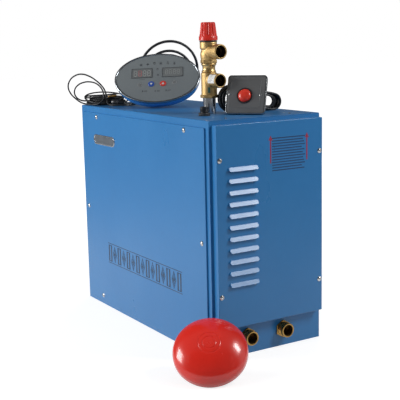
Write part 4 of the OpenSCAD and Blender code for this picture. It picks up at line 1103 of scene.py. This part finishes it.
def mixed(tree, factor, low, high, factorOut=0, lowOut=0, highOut=0):  # low + (high - low) * factor
    gap = mathIn(tree, "SUBTRACT", high, low, highOut, lowOut)
    part = mathIn(tree, "MULTIPLY", gap, factor, 0, factorOut)
    return mathIn(tree, "ADD", part, low, 0, lowOut)


floor = bpy.data.meshes.new("floor")
sheet = bmesh.new()
bmesh.ops.create_grid(sheet, x_segments=1, y_segments=1, size=12)
sheet.to_mesh(floor)
sheet.free()
floorPiece = bpy.data.objects.new("floor", floor)
bpy.context.scene.collection.objects.link(floorPiece)
pale = bpy.data.materials.new("paleFloor")
pale.use_nodes = True
tree = pale.node_tree
shader = tree.nodes["Principled BSDF"]
shader.inputs["Base Color"].default_value = (studio["floor"],) * 3 + (1,)
shader.inputs["Roughness"].default_value = 0.9
shader.inputs["Specular IOR Level"].default_value = 0
rays, glow, both, far = (newNode(tree, kind) for kind in ("LightPath", "Emission", "AddShader",
    "VectorMath"))
far.operation = "LENGTH"
join(tree, newNode(tree, "TexCoord"), far, "Object", 0)
fade = ramp(tree, far, "Value", studio["fade"], studio["near"], studio["far"])
fade.interpolation_type = "SMOOTHSTEP"
shine = mathIn(tree, "MULTIPLY", fade, rays, 0, "Is Glossy Ray")
white = ramp(tree, far, "Value", studio["fade"], *studio["glow"])
level = mixed(tree, rays, shine, white, "Is Camera Ray")
join(tree, level, glow, 0, "Strength")
join(tree, shader, both, 0, 0)
join(tree, glow, both, 0, 1)
join(tree, both, tree.nodes["Material Output"], 0, "Surface")
floor.materials.append(pale)
floorPiece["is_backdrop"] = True

world = bpy.data.worlds.new("studio")
bpy.context.scene.world = world
world.use_nodes = True
tree = world.node_tree
sky = tree.nodes["Background"]
rays, coords, across, split = (newNode(tree, kind) for kind in ("LightPath", "TexCoord", "VectorMath",
    "SeparateXYZ"))
across.operation = "DOT_PRODUCT"
across.inputs[1].default_value = ahead
join(tree, coords, across, "Generated", 0)
join(tree, coords, split, "Generated", 0)
walls = ramp(tree, mathIn(tree, "ABSOLUTE", across, 0, "Value"), 0, studio["wall"], 1, studio["dim"])
roof = ramp(tree, split, "Z", studio["roof"], 1, 0.25)
walls.interpolation_type = roof.interpolation_type = "SMOOTHSTEP"
walls = mathIn(tree, "MULTIPLY", walls, roof)
shone = mixed(tree, rays, studio["world"], walls, "Is Glossy Ray")
seen = mixed(tree, chosen(tree, rays, "Is Camera Ray", "Is Transmission Ray"), shone, 1)
join(tree, seen, sky, 0, "Strength")
sky.inputs["Color"].default_value = (1, 1, 1, 1)


def softLamp(name, way, far, w, h, watts, aim=(0, 0, 0.3), glossy=True):
    lamp = bpy.data.lights.new(name, "AREA")
    lamp.shape, lamp.size, lamp.size_y, lamp.energy = "RECTANGLE", w, h, watts
    holder = bpy.data.objects.new(name, lamp)
    spot = Vector(aim) + Vector(way).normalized() * far
    holder.matrix_world = Matrix.Translation(spot) @ (spot - Vector(aim)).to_track_quat("Z",
        "Y").to_matrix().to_4x4()
    holder.visible_glossy = glossy
    bpy.context.scene.collection.objects.link(holder)


softLamp("keyLamp", (-0.38, -0.88, 0.30), 3.0, 1.2, 1.2, studio["key"])
softLamp("overLamp", (0.521, 0.551, 0.650), 2.0, 0.34, 0.75, studio["over"], aim=(0.322, -0.07, 0.28))
softLamp("leftStrip", (0.15, -1.0, 0.35), 2.2, 0.25, 1.4, studio["strips"], glossy=False)
softLamp("rightStrip", (1.0, 0.22, 0.30), 2.4, 0.2, 1.4, studio["strips"] * 0.3, glossy=False)
softLamp("backFill", (-0.72, 0.66, 0.22), 3.0, 1.0, 1.0, studio["back"], glossy=False)
bpy.context.scene.view_settings.view_transform = "Standard"
print("light set")

[[list(map(float, corner)) for corner in box] for box in (packedBox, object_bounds())]
